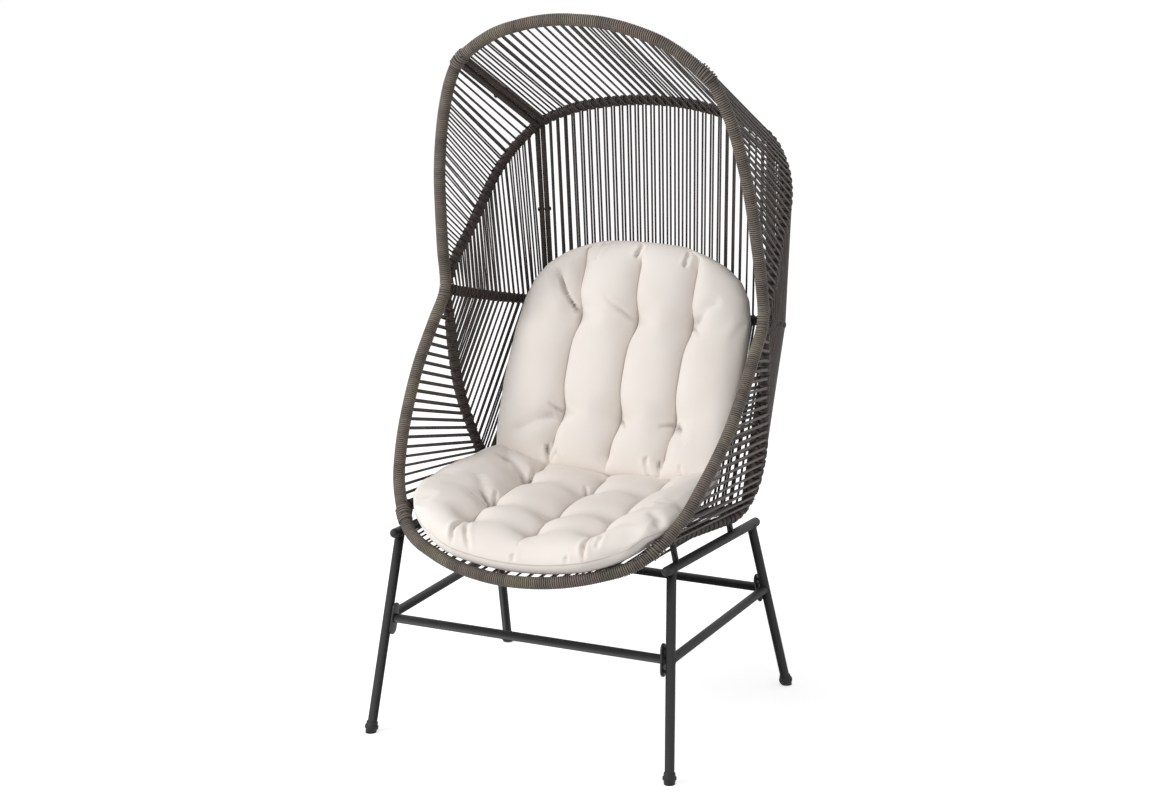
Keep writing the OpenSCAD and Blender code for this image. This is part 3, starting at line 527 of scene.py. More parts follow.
RIM = {"radius": RIM_R, "pitch": 4.5, "width": 3.4, "height": 2.8, "sides": 18}
COLLARS = [(2.0, 16, 3.0), (-16, -2.0, 3.0)]  # from, to and lift; less than 0 is from the end
crown_line = Route(both_halves(rim.part(crown_seam, rim.length, 6)))
lip_line = Route(both_halves(rim.part(lip_seam, 0, 6)))
side_rim = rim.part(lip_seam, crown_seam, 6)
for name, points, node in (("crown", crown_line.p, "crown_rim"), ("lip", lip_line.p, "lip_rim"),
                           ("right", side_rim, "right_side_rim"),
                           ("left", flip(side_rim), "left_side_rim")):
    settle(wrapped("rim_" + name, points, rim_wrap, COLLARS, **RIM), node)

# %% [markdown]
# ## Rods and bars
# Arch, waist bar, lower rods and rear cross bar carry the strands of two panels
# each, so their winding is thick and lumpy. The bars along the roof and upright
# edges carry none: they are two thin wrapped bars side by side.

# %% Rods
middle_count, side_count, seat_count = 29, 22, 24
EDGE, NEAR = 14, 30  # from a panel's outer strands to its corner, and to the waist
LOWER_NOTCHES = (38, 420, 17)
arch_range, back_range = (36, arch_corner - 20), (NEAR, back_corner - EDGE)
arch_line = Route(both_halves(arch.part(arch_corner, arch.length, 6)))
waist_line = Route(both_halves(back.part(back_corner, back.length, 6)))
tail_line = Route(both_halves(tail_rod.part(0, tail_rod.length, 6)))
ROD = {"radius": 12.2, "pitch": 4.7, "width": 4.9, "height": 2.2, "sides": 14, "notch": 3.6,
       "uneven": 0.5}


def inset(route):
    return EDGE, route.length - EDGE


def rod(name, points, node, first, last, count, before=0.0):
    """A rod with a notch at each of the strands that lie evenly between two stations."""
    pitch = (last - first) / count
    settle(wrapped("rod_" + name, points, rod_wrap, every=pitch,
                   start=first + pitch / 2 - before, **ROD), node)


for name, line, node in (("arch", arch_line, "rear_arch"), ("waist", waist_line, "waist_bar"),
                         ("cross", tail_line, "rear_cross_bar")):
    rod(name, line.p, node, *inset(line), middle_count)
for hand, side in SIDES:
    for name, route, end, node, places in (
            ("arch", arch, arch_corner, "arch_side", (*arch_range, side_count)),
            ("waist", back, back_corner, "waist_bar", (*back_range, side_count)),
            ("lower", lower, lower.length, "lower_rod", LOWER_NOTCHES)):
        rod(f"{name}_{side}", route.part(4, end, 6) * (hand, 1, 1), f"{side}_{node}", *places, 4)


# %% Bars side by side
BAR = {"pitch": 4.0, "width": 4.1, "height": 1.5, "sides": 12}
ROOF_BAR_R = 7.4


def edge_of(c0, s0, c1, s1):
    """The two ends of a panel's edge and the way from one bar to the other."""
    a, b = c0.at(s0), c1.at(s1)
    way, head = unit(b - a), c0.way(s0) + c1.way(s1)
    return a, b, unit(head - head @ way * way), way


def bar(name, hand, side, a, b, radius=BAR_R):
    ends = Route([a, b])
    settle(wrapped(f"bar_{name}_{side}", ends.part(0, ends.length) * (hand, 1, 1), rod_wrap,
                   radius=radius, **BAR), f"{side}_{name}_bar")


BAR_GAP, OVERRUN = 0.15, 8  # half the gap of a pair, and how far upright bars pass the corners
roof_edge = edge_of(rim, crown_seam, arch, arch_corner)
back_edge = edge_of(arch, arch_corner, back, back_corner)
for hand, side in SIDES:
    for (a, b, across, way), names, radius, over in (
            (roof_edge, ("canopy", "wing"), ROOF_BAR_R, 0),
            (back_edge, ("back", "corner"), BAR_R, OVERRUN)):
        for sign, name in zip((1, -1), names):
            shift = sign * (radius + BAR_GAP) * across
            bar(name, hand, side, a + shift - over * way, b + shift + over * way, radius)
    bar("lower_back", hand, side, back.at(back_corner), lower.at(lower_joint))

# %% [markdown]
# ## Panels
# A panel is one long strand. It crosses from rod to rod, goes half way round,
# comes back behind its first crossing, and moves on by one place as it rounds
# the first rod again. So each panel has two layers, one behind the other. At
# the rim the strand goes round the tube under the wrap.


# %% Strand panels
DRIFT, SHIFT_ALONG = 0.9, 2.5  # how far a strand's ends stray from their even places
TURN_PLACES = 9


def panel_strand(name, edges, count, front, seed, hand=1, lag=0.0):
    """One panel's strand. An edge is a route, the strand's distance from it, and places on it."""
    drift = np.random.default_rng(seed)
    shares = (np.arange(count + 1) + 0.5) / count
    stations = [np.interp(shares, np.linspace(0, 1, len(edge[2])), edge[2]) + shift
                for edge, shift in zip(edges, (-SHIFT_ALONG, SHIFT_ALONG))]
    for s in stations:
        s[:-1] += drift.uniform(-DRIFT, DRIFT, count)
        s[-1] = s[-2]
    places, facing = [], []
    for k in range(count):
        for layer, ends in ((front, (0, 1)), (-front, (1, 0))):
            spots = []
            for e, (route, radius, _) in enumerate(edges):
                s = stations[e][k]
                if layer < 0:  # the outer layer lies a little further to the right there
                    s += lag * np.clip(route.at(s)[0] / 250, 0, 1) * np.sign(route.way(s)[0])
                spots.append((route, radius, s))
            way = unit(spots[1][0].at(spots[1][2]) - spots[0][0].at(spots[0][2]))
            for end in ends:
                route, radius, s = spots[end]
                head = route.way(s)
                out = unit(np.cross(head, way))
                out = out * (-1 if out @ (INSIDE - route.at(s)) < 0 else 1) * layer
                beyond = unit(way - way @ head * head) * (1 if end else -1)
                if end == ends[0]:
                    places.append(route.at(s) + radius * out)
                    facing.append(out)
                    continue
                step = stations[0][k + 1] - s if end == 0 else 0
                for turn in np.linspace(0, math.pi, TURN_PLACES)[:-1]:
                    push = math.cos(turn) * out + math.sin(turn) * beyond
                    places.append(route.at(s + step * turn / math.pi) + radius * push)
                    facing.append(push)
    mirror = np.array([hand, 1, 1])
    return guide(name, np.array(places) * mirror, np.array(facing) * mirror)


def panel(name, node, first, second, count, front, seed, width, **more):
    strand = panel_strand("web_" + name, (first, second), count, front, seed, **more)
    piece = grow(strand, strand_group, strand_cord, Strand_Width=width / 1000,
                 Strand_Height=STRAND_THICK)
    settle(joined("web_" + name, [piece]), node + "_strands")


ON_ROD, IN_RIM, STRAND_THICK = 8.6, 10.0, 0.0034
crown, lip = ((route, IN_RIM, inset(route)) for route in (crown_line, lip_line))
top, waist, tail = ((route, ON_ROD, inset(route)) for route in (arch_line, waist_line, tail_line))
for name, *spec, lag in (
        ("canopy", crown, top, middle_count, 1, 1, 4.8, 7.5),
        ("upper_back", top, waist, middle_count, -1, 2, 4.8, 7.5),
        ("lower_back", waist, tail, middle_count, 1, 3, 6.4, 0.0),
        ("seat", lip, tail, seat_count, -1, 4, 5.2, 0.0)):
    panel(name, name, *spec, lag=lag)

side_arch, side_back = (arch, ON_ROD, arch_range), (back, ON_ROD, back_range)
side_low = (lower, ON_ROD, (NEAR, lower_joint - 24))
wing = (rim, IN_RIM, (916, 1030, 1151, 1241, 1322, 1393))
flank_places = {"left": ((840, 361), (38, 157, 277, 367, 420)), "right": ((840, 341), (38, 436))}
low_count, flank_count = {"left": 20, "right": 29}, {"left": 21, "right": 20}
for hand, side in SIDES:
    at_rim, at_rod = flank_places[side]
    for name, node, first, second, count, front, seed, widths in (
            ("wing", "wing", wing, side_arch, side_count, 1, 5, (4.3, 6.4)),
            ("corner", "corner", side_arch, side_back, side_count, -1, 6, (4.5, 6.4)),
            ("lower_corner", "lower_corner", side_back, side_low, low_count[side], 1, 7,
             (5.2, 6.2)),
            ("flank", "side", (rim, IN_RIM, at_rim), (lower, ON_ROD, at_rod),
             flank_count[side], -1, 8, (5.2, 7.6))):
        panel(f"{name}_{side}", f"{side}_{node}", first, second, count, front, seed,
              widths[side == "right"], hand=hand)
print("panels done")

# %% [markdown]
# ## Base
# The base is welded tube. Each tube is a smooth sweep, and where it is welded a
# bead runs round the real line in which the two surfaces meet.

# %% Base pieces
LEG_R, STRETCHER_R = 10.0, 9.5
FOOT = {"front": np.array([342, -320, 0.0]), "rear": np.array([342, 320, 0.0])}
LEG_Y = {"front": -237.0, "rear": 184.0}
RAIL_X, RAIL_FRONT_Z, RAIL_REAR_Z, RAIL_OVER = 308, 423, 399, 25
STRETCHER_Z = 243


def rail_place(y):
    slope = (RAIL_REAR_Z - RAIL_FRONT_Z) / (LEG_Y["rear"] - LEG_Y["front"])
    return np.array([RAIL_X, y, RAIL_FRONT_Z + slope * (y - LEG_Y["front"])])


def rail_ends(hand):
    return [rail_place(y) * (hand, 1, 1)
            for y in (LEG_Y["front"] - RAIL_OVER, LEG_Y["rear"] + RAIL_OVER)]


def leg_way(end):
    return unit(rail_place(LEG_Y[end]) - FOOT[end])


def leg_place(end, z):
    top = rail_place(LEG_Y[end])
    return FOOT[end] + (top - FOOT[end]) * z / top[2]


def square_to(way):
    """Two directions square to a way and to each other."""
    side = unit(np.cross(way, (0, 0, 1) if abs(way[2]) < 0.9 else (0, 1, 0)))
    return side, np.cross(way, side)


def from_shape(name, shape):
    mesh = bpy.data.meshes.new(name)
    shape.to_mesh(mesh)
    shape.free()
    mesh.shade_smooth()
    return placed(name, mesh)


def lathe(name, profile, origin, way, sides=48):
    """A closed turned piece: profile pairs are (radius, length along way)."""
    u, v = square_to(way)
    shape = bmesh.new()
    rings = []
    for radius, along in profile:
        spots = 1 if radius == 0 else sides
        rings.append([shape.verts.new(world(
            origin + along * way + radius * (math.cos(a) * u + math.sin(a) * v))[0])
            for a in np.arange(spots) / spots * math.tau])
    for a, b in zip(rings, rings[1:]):
        for k in range(sides):
            spots = [a[k % len(a)], a[(k + 1) % len(a)], b[(k + 1) % len(b)], b[k % len(b)]]
            shape.faces.new(list(dict.fromkeys(spots)))
    outward(shape)
    return from_shape(name, shape)


def pipe(name, a, b, radius):
    """A tube between two places."""
    run = np.linalg.norm(b - a)
    return lathe(name, [(0, 0), (radius, 0), (radius, 0), (radius, run), (radius, run), (0, run)],
                 a, unit(b - a))


def bead(name, a, way, radius, hits, size=1.5):
    """A weld bead round a tube from a, where `hits` says how far its surface runs."""
    u, v = square_to(way)
    spots = []
    for k in range(65):
        q = k / 64 * math.tau
        out = math.cos(q) * u + math.sin(q) * v
        spots.append(a + radius * out + hits(a + radius * out, way) * way)
    return grow(guide(name, spots), winding, powder_coat, Core_Radius=size / 1000,
                Lay_Radius=(size - 0.25) / 1000, Pitch=0.0022, Strand_Width=0.0022,
                Strand_Height=0.0012, Turn_Points=7, Unevenness=0.0003, Seed=radius)


def onto_tube(c, heading, radius):
    """How far a line runs before it meets a round tube through c."""
    def hits(place, way):
        rel, d = place - c, way - way @ heading * heading
        rel = rel - rel @ heading * heading
        aa, bb, cc = d @ d, 2 * rel @ d, rel @ rel - radius ** 2
        return (-bb - math.sqrt(max(0, bb * bb - 4 * aa * cc))) / (2 * aa)
    return hits


def onto_plane(c, normal):
    return lambda place, way: ((c - place) @ normal) / (way @ normal)


def base_piece(name, parts, node, material=powder_coat):
    for part in parts:
        if not part.data.materials:
            part.data.materials.append(material)
    settle(joined(name, parts), node)


LEG_START, LEG_SHORT = 9, 3  # a leg starts above the floor and ends below the rail's middle
for hand, side in SIDES:
    mirror = np.array([hand, 1, 1])
    front, rear = rail_ends(hand)
    along = unit(rear - front)
    base_piece("base_rail_" + side, [pipe("rail", front, rear, LEG_R)], side + "_top_rail")
    for end in FOOT:
        way = leg_way(end) * mirror
        start, top = FOOT[end] * mirror + LEG_START * way, rail_place(LEG_Y[end]) * mirror
        leg = pipe("leg", start, top - LEG_SHORT * way, LEG_R)
        weld = bead("weld", start, way, LEG_R, onto_tube(top, along, LEG_R))
        base_piece(f"base_leg_{end}_{side}", [leg, weld], f"{side}_{end}_leg")
    a, b = (leg_place(end, STRETCHER_Z) * mirror for end in FOOT)
    middle, way = (a + b) / 2, unit(b - a)
    welds = [bead("weld", middle, s * way, STRETCHER_R, onto_tube(c, leg_way(end) * mirror, LEG_R))
             for s, c, end in ((-1, a, "front"), (1, b, "rear"))]
    base_piece("base_side_stretcher_" + side, [pipe("stretcher", a, b, STRETCHER_R)] + welds,
               side + "_side_stretcher")

# %% [markdown]
# The front and rear stretchers end on flange plates, which are bolted to the
# legs. A plate is a round-ended strip with softened edges. The bolts have
# domed heads; their hexagon socket is made as a round one.


# %% Plates and bolts
def leg_frame(end, hand):
    """Origin and axes on a leg at the stretchers: out from the middle, across, up."""
    z = leg_way(end)
    x = unit(np.array([1, 0, 0]) - z[0] * z)
    return [p * np.array([hand, 1, 1]) for p in (leg_place(end, STRETCHER_Z), x, np.cross(z, x), z)]


def slab(name, outline, origin, u, v, thick, soft=0.7):
    """A flat plate from an outline, with its rims softened."""
    shape = bmesh.new()
    verts = [shape.verts.new(world(origin + x * u + y * v)[0]) for x, y in outline]
    out = bmesh.ops.extrude_face_region(shape, geom=[shape.faces.new(verts)])
    moved = [g for g in out["geom"] if isinstance(g, bmesh.types.BMVert)]
    bmesh.ops.translate(shape, verts=moved, vec=Vector(np.cross(u, v) * thick / 1000))
    outward(shape)
    rims = list({e for f in shape.faces if len(f.verts) > 4 for e in f.edges})
    bmesh.ops.bevel(shape, geom=rims, offset=soft / 1000, segments=3, affect="EDGES", profile=0.5)
    return from_shape(name, shape)


def round_strip(length, width, steps=12):
    run, r = (length - width) / 2, width / 2
    return [(s * run + r * math.cos(q + (0 if s > 0 else math.pi)),
             r * math.sin(q + (0 if s > 0 else math.pi)))
            for s in (1, -1) for q in np.linspace(-math.pi / 2, math.pi / 2, steps)]


def button_bolt(place, way, head=5.5, rise=3.6, shank=3.0, length=4.0):
    """A domed bolt head with a round socket, its shank behind it."""
    dome = [(0, -length), (shank, -length), (shank, 0), (head - 0.3, 0), (head, 0.4)]
    dome += [(head * math.cos(q), 0.6 + (rise - 0.6) * math.sin(q)) for q in (0.3, 0.6, 0.9, 1.15)]
    dome += [(2.0, rise - 0.05), (1.7, rise - 0.3), (1.6, rise - 1.8), (0, rise - 1.9)]
    return lathe("bolt", dome, place, way, 36)


PLATE_LONG, PLATE_WIDE, PLATE_THICK, BOLT_OUT = 68, 25, 4.0, 23
plates, bolts = [], []
for hand, side in SIDES:
    for end in FOOT:
        o, x, y, z = leg_frame(end, hand)
        inner = o - x * (LEG_R + PLATE_THICK)
        plates.append(slab("plate", round_strip(PLATE_LONG, PLATE_WIDE), inner, z, y * hand,
                           PLATE_THICK))
        bolts += [button_bolt(inner + s * BOLT_OUT * z, -x) for s in (-1, 1)]
base_piece("base_plates", plates, "stretcher_plates")
base_piece("base_bolts", bolts, "plate_bolts", bolt_steel)

for end in FOOT:
    o, x, y, z = leg_frame(end, 1)
    inner = o - x * (LEG_R + PLATE_THICK)
    reach = o[0] - (LEG_R + PLATE_THICK)
    a, b = (np.array([s * reach, o[1], o[2]]) for s in (-1, 1))
    welds = [bead("weld", (a + b) / 2, np.array([s, 0.0, 0.0]), STRETCHER_R,
                  onto_plane(inner * (s, 1, 1), x * (s, 1, 1))) for s in (1, -1)]
    base_piece("base_stretcher_" + end, [pipe("stretcher", a, b, STRETCHER_R)] + welds,
               end + "_stretcher")

# %% [markdown]
# Rail ends have domed plugs. The foot caps are soft turned pieces with a ring,
# cut level with the floor. Small flat brackets with a hole join the rails to
# the shell's lower rods.

# %% Plugs, caps and brackets
DOME = [(0, -12), (8, -12), (8, 0), (9.4, 0), (9.9, 0.4)] + [
    (10 * math.cos(q), 10 * math.sin(q)) for q in np.arange(1, 9) * math.pi / 18] + [(0, 10)]
plugs = []
for hand, side in SIDES:
    front, rear = rail_ends(hand)
    plugs += [lathe("plug", DOME, a, unit(a - b)) for a, b in ((front, rear), (rear, front))]
base_piece("base_plugs", plugs, "rail_plugs", cap_plastic)

CAP = [(0, -20), (11.5, -20), (12.1, 7.2), (12.5, 7.8), (13.9, 8.2), (14.4, 9.2), (14.5, 12),
       (14.4, 14.8), (13.9, 15.8), (12.6, 16.3), (12.2, 17), (12.1, 22.6), (11.6, 23.6),
       (10.8, 24), (10.3, 23.6), (10.2, 21), (10.2, 8), (0, 8)]
for hand, side in SIDES:
    for end in FOOT:
        way = leg_way(end) * (hand, 1, 1)
        cap = lathe("cap", CAP, FOOT[end] * (hand, 1, 1), way)
        for vert in cap.data.vertices:
            if vert.co.z < 0:  # slides along the leg up to the floor
                vert.co -= Vector(way) * (vert.co.z / way[2])
        base_piece(f"base_cap_{end}_{side}", [cap], f"{side}_{end}_foot_cap", cap_plastic)

BRACKET_Y, HOLE_R, HALF_WIDE = (-205.0, 80.0), 2.8, 6
straight = Route(lower.part(lower_joint + 30, lower.length, 4))
brackets = []
for hand, side in SIDES:
    for y in BRACKET_Y:
        foot = rail_place(y) * (hand, 1, 1)
        top = straight.p[np.argmin(abs(straight.p[:, 1] - y))] * (hand, 1, 1)
        up, tall = unit(top - foot), np.linalg.norm(top - foot)
        across = unit(np.cross(up, (0, 1, 0)))
        face = np.cross(across, up)
        hole = LEG_R + (tall - LEG_R - ROD_R) / 2
        ring = [(hole + HOLE_R * math.cos(q), HOLE_R * math.sin(q))
                for q in np.arange(1, 24) / 24 * math.tau]
        outline = [(hole + HOLE_R, 0)] + ring[::-1] + [
            (hole + HOLE_R, -0.01), (tall, -0.01), (tall, -HALF_WIDE), (LEG_R - 3, -HALF_WIDE),
            (LEG_R - 3, HALF_WIDE), (tall, HALF_WIDE), (tall, 0.0)]
        brackets.append(slab("bracket", outline, foot - 3 * face, up, across, 6.0, 0.3))
base_piece("base_brackets", brackets, "shell_brackets")

bolts = []
for hand, side in SIDES:
    for (a, b, across, way), share, radius in (
            (roof_edge, 0.5, ROOF_BAR_R), (back_edge, 0.48, BAR_R)):
        middle = (a + share * (b - a)) * (hand, 1, 1)
        for s in (-1, 1):
            out = s * across * (hand, 1, 1)
            bolts.append(button_bolt(middle + out * (2 * radius + 0.2), out, 5.0, 2.9, 2.5, 12.0))
base_piece("bar_bolts", bolts, "panel_bolts", bolt_steel)
print("base done")

# %% [markdown]
# ## Cushion
# The cushion is two sewn pads in one cover: a seat and a back. Each pad starts
# as a pillow, with a face and an underside joined along an edge seam. Three
# channels and rows of tufts are stitched down into the face. A pillow could be
# sculpted by hand, but stuffing pushes evenly, so here Blender's cloth inflates
# it while the stitches stay put, and the puffs round out by themselves.

# %% Pad outlines
SEAM = 0.48
SEAMS = (-SEAM, 0.0, SEAM)
SEAT_OUT = ([0, .03, .1, .2, .32, .5, .7, .85, .94, 1],
            [.66, .76, .88, .965, 1, .985, .94, .9, .86, .8])
BACK_OUT = ([0, .1, .3, .55, .7, .8, .88, .94, .98, 1],
            [.94, .97, 1, .995, .97, .92, .83, .7, .55, .42])
lip_half, tail_half = rim.part(0, lip_seam, 6), tail_rod.p


def crowned(t, power):
    return np.sqrt(np.maximum(0, 1 - np.abs(t) ** power))


def dip(t, width):
    return np.exp(-(t / width) ** 2)


def across(u, v, half, outline):
    """Distance from the middle: the channels run straight, the edge follows the outline."""
    w = np.interp(v, *outline)
    line = SEAM * min(1, 1.5 * w)
    if abs(u) < SEAM:
        return half * u / SEAM * line
    return half * math.copysign(line + (abs(u) - SEAM) / (1 - SEAM) * (w - line), u)


def by_x(points, x):
    """Where a line passes a distance from the middle plane: its y and z."""
    order = np.argsort(points[:, 0])
    return [np.interp(abs(x), points[order, 0], points[order, k]) for k in (1, 2)]


def seat_floor(x, y):
    (fy, fz), (ry, rz) = by_x(lip_half, min(abs(x), 270)), by_x(tail_half, min(abs(x), 290))
    return fz + 6.5 + (rz + 11.3 - fz - 6.5) * (y - fy) / (ry - fy)


SEAT_HALF, BACK_HALF, BACK_LONG = 303, 274, 517
SEAT_LIFT, SEAT_THICK, SEAM_SHARE = 0.3, 88, 0.42  # the edge seam runs this share of the way up
SEAT_FRONT_Y, SEAT_LONG, BOW = -357, 509, 34  # the ends bow towards the sides by BOW
NEST = 19  # how far the back's foot sits below the seat's top


def seat_place(u, v, rise):
    x = across(u, v, SEAT_HALF, SEAT_OUT) + 3 + 13 * (1 - v) ** 3
    y = SEAT_FRONT_Y + BOW * u * u + (SEAT_LONG - BOW * u * u) * v
    return np.array([x, y, seat_floor(x, y) + SEAT_LIFT + SEAT_THICK * SEAM_SHARE
                     + 42 * u ** 4 * v - 4 * max(0, 1 - v / 0.15) + rise])


LEAN = math.radians(23.5)
BACK_UP = np.array([0, math.sin(LEAN), math.cos(LEAN)])
BACK_OUTWARD = np.array([0, -math.cos(LEAN), math.sin(LEAN)])
BACK_FOOT = np.array([0, 137, seat_floor(0, 152) + SEAT_LIFT + SEAT_THICK - NEST])


def back_place(u, v, rise):
    low = max(0, 1 - v / 0.2) ** 2  # the lower end lies flat on the seat
    out = unit(BACK_OUTWARD * (1 - low) + np.array([0, -0.98, 0.2]) * low)
    return (BACK_FOOT + np.array([across(u, v, BACK_HALF, BACK_OUT), 0, BOW * u ** 4 * (1 - v)])
            + (BACK_LONG * v - 14 * u * u * v * v) * BACK_UP + BOW * u * u * (1 - v) * BACK_OUTWARD
            + rise * out)


# %% [markdown]
# The face dips at each channel and more at each tuft. The rows and columns of
# the mesh are spread evenly over that dipping surface, and one column follows
# each channel, so the stitches can be held on real vertices.

# %% Pillows
PADS = {
    "seat_pad": {"place": seat_place, "half": SEAT_HALF, "long": 504, "over": 51, "under": 37,
                 "rows": (0.19, 0.4, 0.73), "tuft": (0.14, 0.07), "ends": (6, 14),
                 "deep": 25, "pinch": 11, "jog": 0.0, "stitched": (0.18, 0.9),
                 "node": "seat_cushion"},
    "back_pad": {"place": back_place, "half": BACK_HALF, "long": BACK_LONG, "over": 46, "under": 72,
                 "rows": (0.24, 0.655), "tuft": (0.17, 0.07), "ends": (9, 5),
                 "deep": 29, "pinch": 14, "jog": 0.03, "stitched": (0.08, 0.975),
                 "node": "back_cushion"}}
COLUMNS, ROWS = 116, 96
SADDLE = 5  # how far the face sinks across the pad at each row of tufts


def sewn(u, v, pad):
    """How far the face is drawn down: along channels, at tufts and across rows."""
    (wide, long), rows = pad["tuft"], pad["rows"]
    off = min(1, min(abs(u - s) for s in SEAMS) / 0.24)
    channel = 1 - (1 - (1 - off) ** 2.4) ** 0.6
    tuft = max(dip(u - s, wide) * dip(v - r, long) for s in SEAMS for r in rows)
    fade = min(1, max(0, v / 0.08), max(0, (1 - v) / 0.11))
    if pad["rows"][0] < 0.2:  # the seat's channels end at the front tufts
        channel *= min(1, max(0, v - 0.02) / 0.16)
    return fade * (pad["deep"] * channel + pad["pinch"] * tuft
                   + SADDLE * max(dip(v - r, 0.06) for r in rows))


def lengthwise(v, pad):
    """How full the pad is along its length: its two ends round off differently."""
    return crowned(2 * v - 1, pad["ends"][0 if v < 0.5 else 1])


def spread(run, height, count, marks=()):
    """Steps from -1 to 1 that lie evenly over a profile, with some places kept."""
    t = np.linspace(-1, 1, 3001)
    steps = np.hypot(np.diff(t) * run, np.diff([height(x) for x in t]))
    s = np.concatenate([[0], np.cumsum(steps)])
    steps = np.interp(np.linspace(0, s[-1], count + 1), s, t)
    for mark in marks:
        steps[np.argmin(abs(steps - mark))] = mark
    return steps


def pillow(name, pad):
    """A closed pad, and each vertex's u, v and side: 1 face, 0 edge, -1 underside."""
    over, under = pad["over"], pad["under"]
    us = spread(pad["half"], lambda u: crowned(u, 4) * (over - sewn(u, 0.5, pad)), COLUMNS, SEAMS)
    vs = (spread(pad["long"] / 2, lambda t: crowned(t, 6) * over, ROWS) + 1) / 2
    spots, data, index = [], [], {}
    for side in (1, -1):
        for j, v in enumerate(vs):
            for i, u in enumerate(us):
                edge = i in (0, COLUMNS) or j in (0, ROWS)
                if side < 0 and edge:
                    index[side, i, j] = index[1, i, j]
                    continue
                rise = lengthwise(v, pad) * crowned(u, 4) * (over - sewn(u, v, pad))
                if side < 0:
                    rise = -crowned(2 * v - 1, 8) * crowned(u, 4) * under
                index[side, i, j] = len(spots)
                jog = pad["jog"] * (1 - u * u) * (max(dip(v - r, 0.09) for r in pad["rows"]) - 0.4)
                spots.append(pad["place"](u + jog, v, rise))
                data.append((u, v, 0 if edge else side))
    faces = [[index[side, i, j], index[side, i + 1, j], index[side, i + 1, j + 1],
              index[side, i, j + 1]][::side]
             for side in (1, -1) for j in range(ROWS) for i in range(COLUMNS)]
    mesh = bpy.data.meshes.new(name)
    mesh.from_pydata(world(spots).tolist(), [], faces)
    for key, values in zip(("across", "along", "side"), np.array(data).T):
        keep(mesh, key, values)
    return placed(name, mesh)


def keep(mesh, key, values):
    """Stores one number per vertex."""
    mesh.attributes.new(key, "FLOAT", "POINT").data.foreach_set("value", values.astype(np.float32))


def read(items, key, width=1, kind=np.float32):
    """A property of many items as an array, with one row per item."""
    values = np.zeros(len(items) * width, kind)
    items.foreach_get(key, values)
    return values.reshape(-1, width) if width > 1 else values


def kept(mesh, key):
    return read(mesh.attributes[key].data, "value")


def corners(mesh):
    return read(mesh.vertices, "co", 3).astype(float)


def move_to(mesh, places):
    mesh.vertices.foreach_set("co", places.astype(np.float32).ravel())
    mesh.update()


# %% [markdown]
# The cloth has a little more fabric than it needs, which lets it wrinkle, and
# no weight. Channels and the edge seam are held firmly and the underside, which
# rests on the web, rather firmly. What moved too far is drawn back to the cap.

# %% Stuffing
CLOTH = {"quality": 6, "mass": 0.3, "tension_stiffness": 12, "compression_stiffness": 12,
         "shear_stiffness": 4, "bending_stiffness": 2.5, "vertex_group_mass": "held",
         "pin_stiffness": 1.0, "use_pressure": True, "uniform_pressure_force": 4.0}


def inflate(piece, held, cap=0.026, frames=20):
    before = corners(piece.data)
    group = piece.vertex_groups.new(name="held")
    for weight in np.unique(held[held > 0]):
        group.add(np.flatnonzero(held == weight).tolist(), float(weight), "REPLACE")
    modifier = piece.modifiers.new("stuffing", "CLOTH")
    for key, value in CLOTH.items():
        setattr(modifier.settings, key, value)
    modifier.settings.effector_weights.gravity = 0
    modifier.collision_settings.use_self_collision = False
    modifier.point_cache.frame_start, modifier.point_cache.frame_end = 1, frames
    for number in range(1, frames + 1):
        bpy.context.scene.frame_set(number)
    source = piece.evaluated_get(bpy.context.evaluated_depsgraph_get())
    move = corners(source.data) - before
    piece.modifiers.clear()
    piece.vertex_groups.clear()
    bpy.context.scene.frame_set(1)
    size = np.linalg.norm(move, axis=1, keepdims=True)
    move_to(piece.data, before + move * np.minimum(1, cap / np.maximum(size, 1e-9)))
    print(piece.name, "moved up to", round(float(size.max()) * 1000, 1), "mm")


# %% [markdown]
# Stitches also gather the cover into short creases. Each is a line of places on
# the face, by u and v, with a depth. A crease presses the cover in along its
# line, lifts it a little on both sides, and fades towards its ends. Folds are
# the same, but broad and soft.

# %% Creases
CREASES = {
    "seat_pad": [
        (10, (-.48, .18), (-.51, .06), (-.505, .015), (-.47, .001)),
        (8, (-.45, .19), (-.41, .06), (-.36, .015), (-.33, .001)),
        (6, (.0, .15), (.01, .03)), (5, (-.02, .012), (.0, .001)),
        (10, (.48, .15), (.475, .04), (.50, .01), (.57, .001)), (7, (.60, .10), (.66, .02)),
        (5, (.36, .008), (.39, .001)),
        (6, (-.49, .40), (-.60, .44)), (5, (-.49, .39), (-.62, .36)), (5, (-.48, .41), (-.53, .50)),
        (7, (-.48, .75), (-.52, .85)), (6, (-.47, .75), (-.43, .84)), (4, (.0, .40), (-.07, .35)),
        (4, (-.01, .73), (-.06, .80)), (4, (.48, .40), (.54, .36))],
    "back_pad": [
        (9, (-.72, .83), (-.60, .75), (-.49, .66)),
        (5, (-.24, .74), (-.10, .69), (-.01, .655)), (5, (.49, .655), (.62, .62)),
        (9, (-.41, .985), (-.385, .89)), (8, (-.04, .92), (-.01, .985)),
        (8, (.39, .895), (.465, .975)),
        (9, (-.52, .10), (-.485, .01)), (7, (-.42, .08), (-.47, .01)), (8, (.34, .10), (.39, .01)),
        (7, (.45, .09), (.47, .01)), (4, (.66, .07), (.70, .015)), (4, (.49, .24), (.58, .21)),
        (4, (-.49, .24), (-.59, .27)), (4, (.01, .24), (.10, .20)), (4, (.47, .24), (.37, .22))]}
FOLDS = {
    "seat_pad": [(6, (-.48, .73), (-.66, .80), (-.84, .78)), (5, (-.50, .40), (-.72, .52))],
    "back_pad": [
        (9, (-.84, .88), (-.66, .78), (-.50, .66)), (6, (.50, .66), (.66, .74), (.80, .78)),
        (6, (-.50, .24), (-.70, .16), (-.86, .10)), (5, (.50, .24), (.68, .14))]}


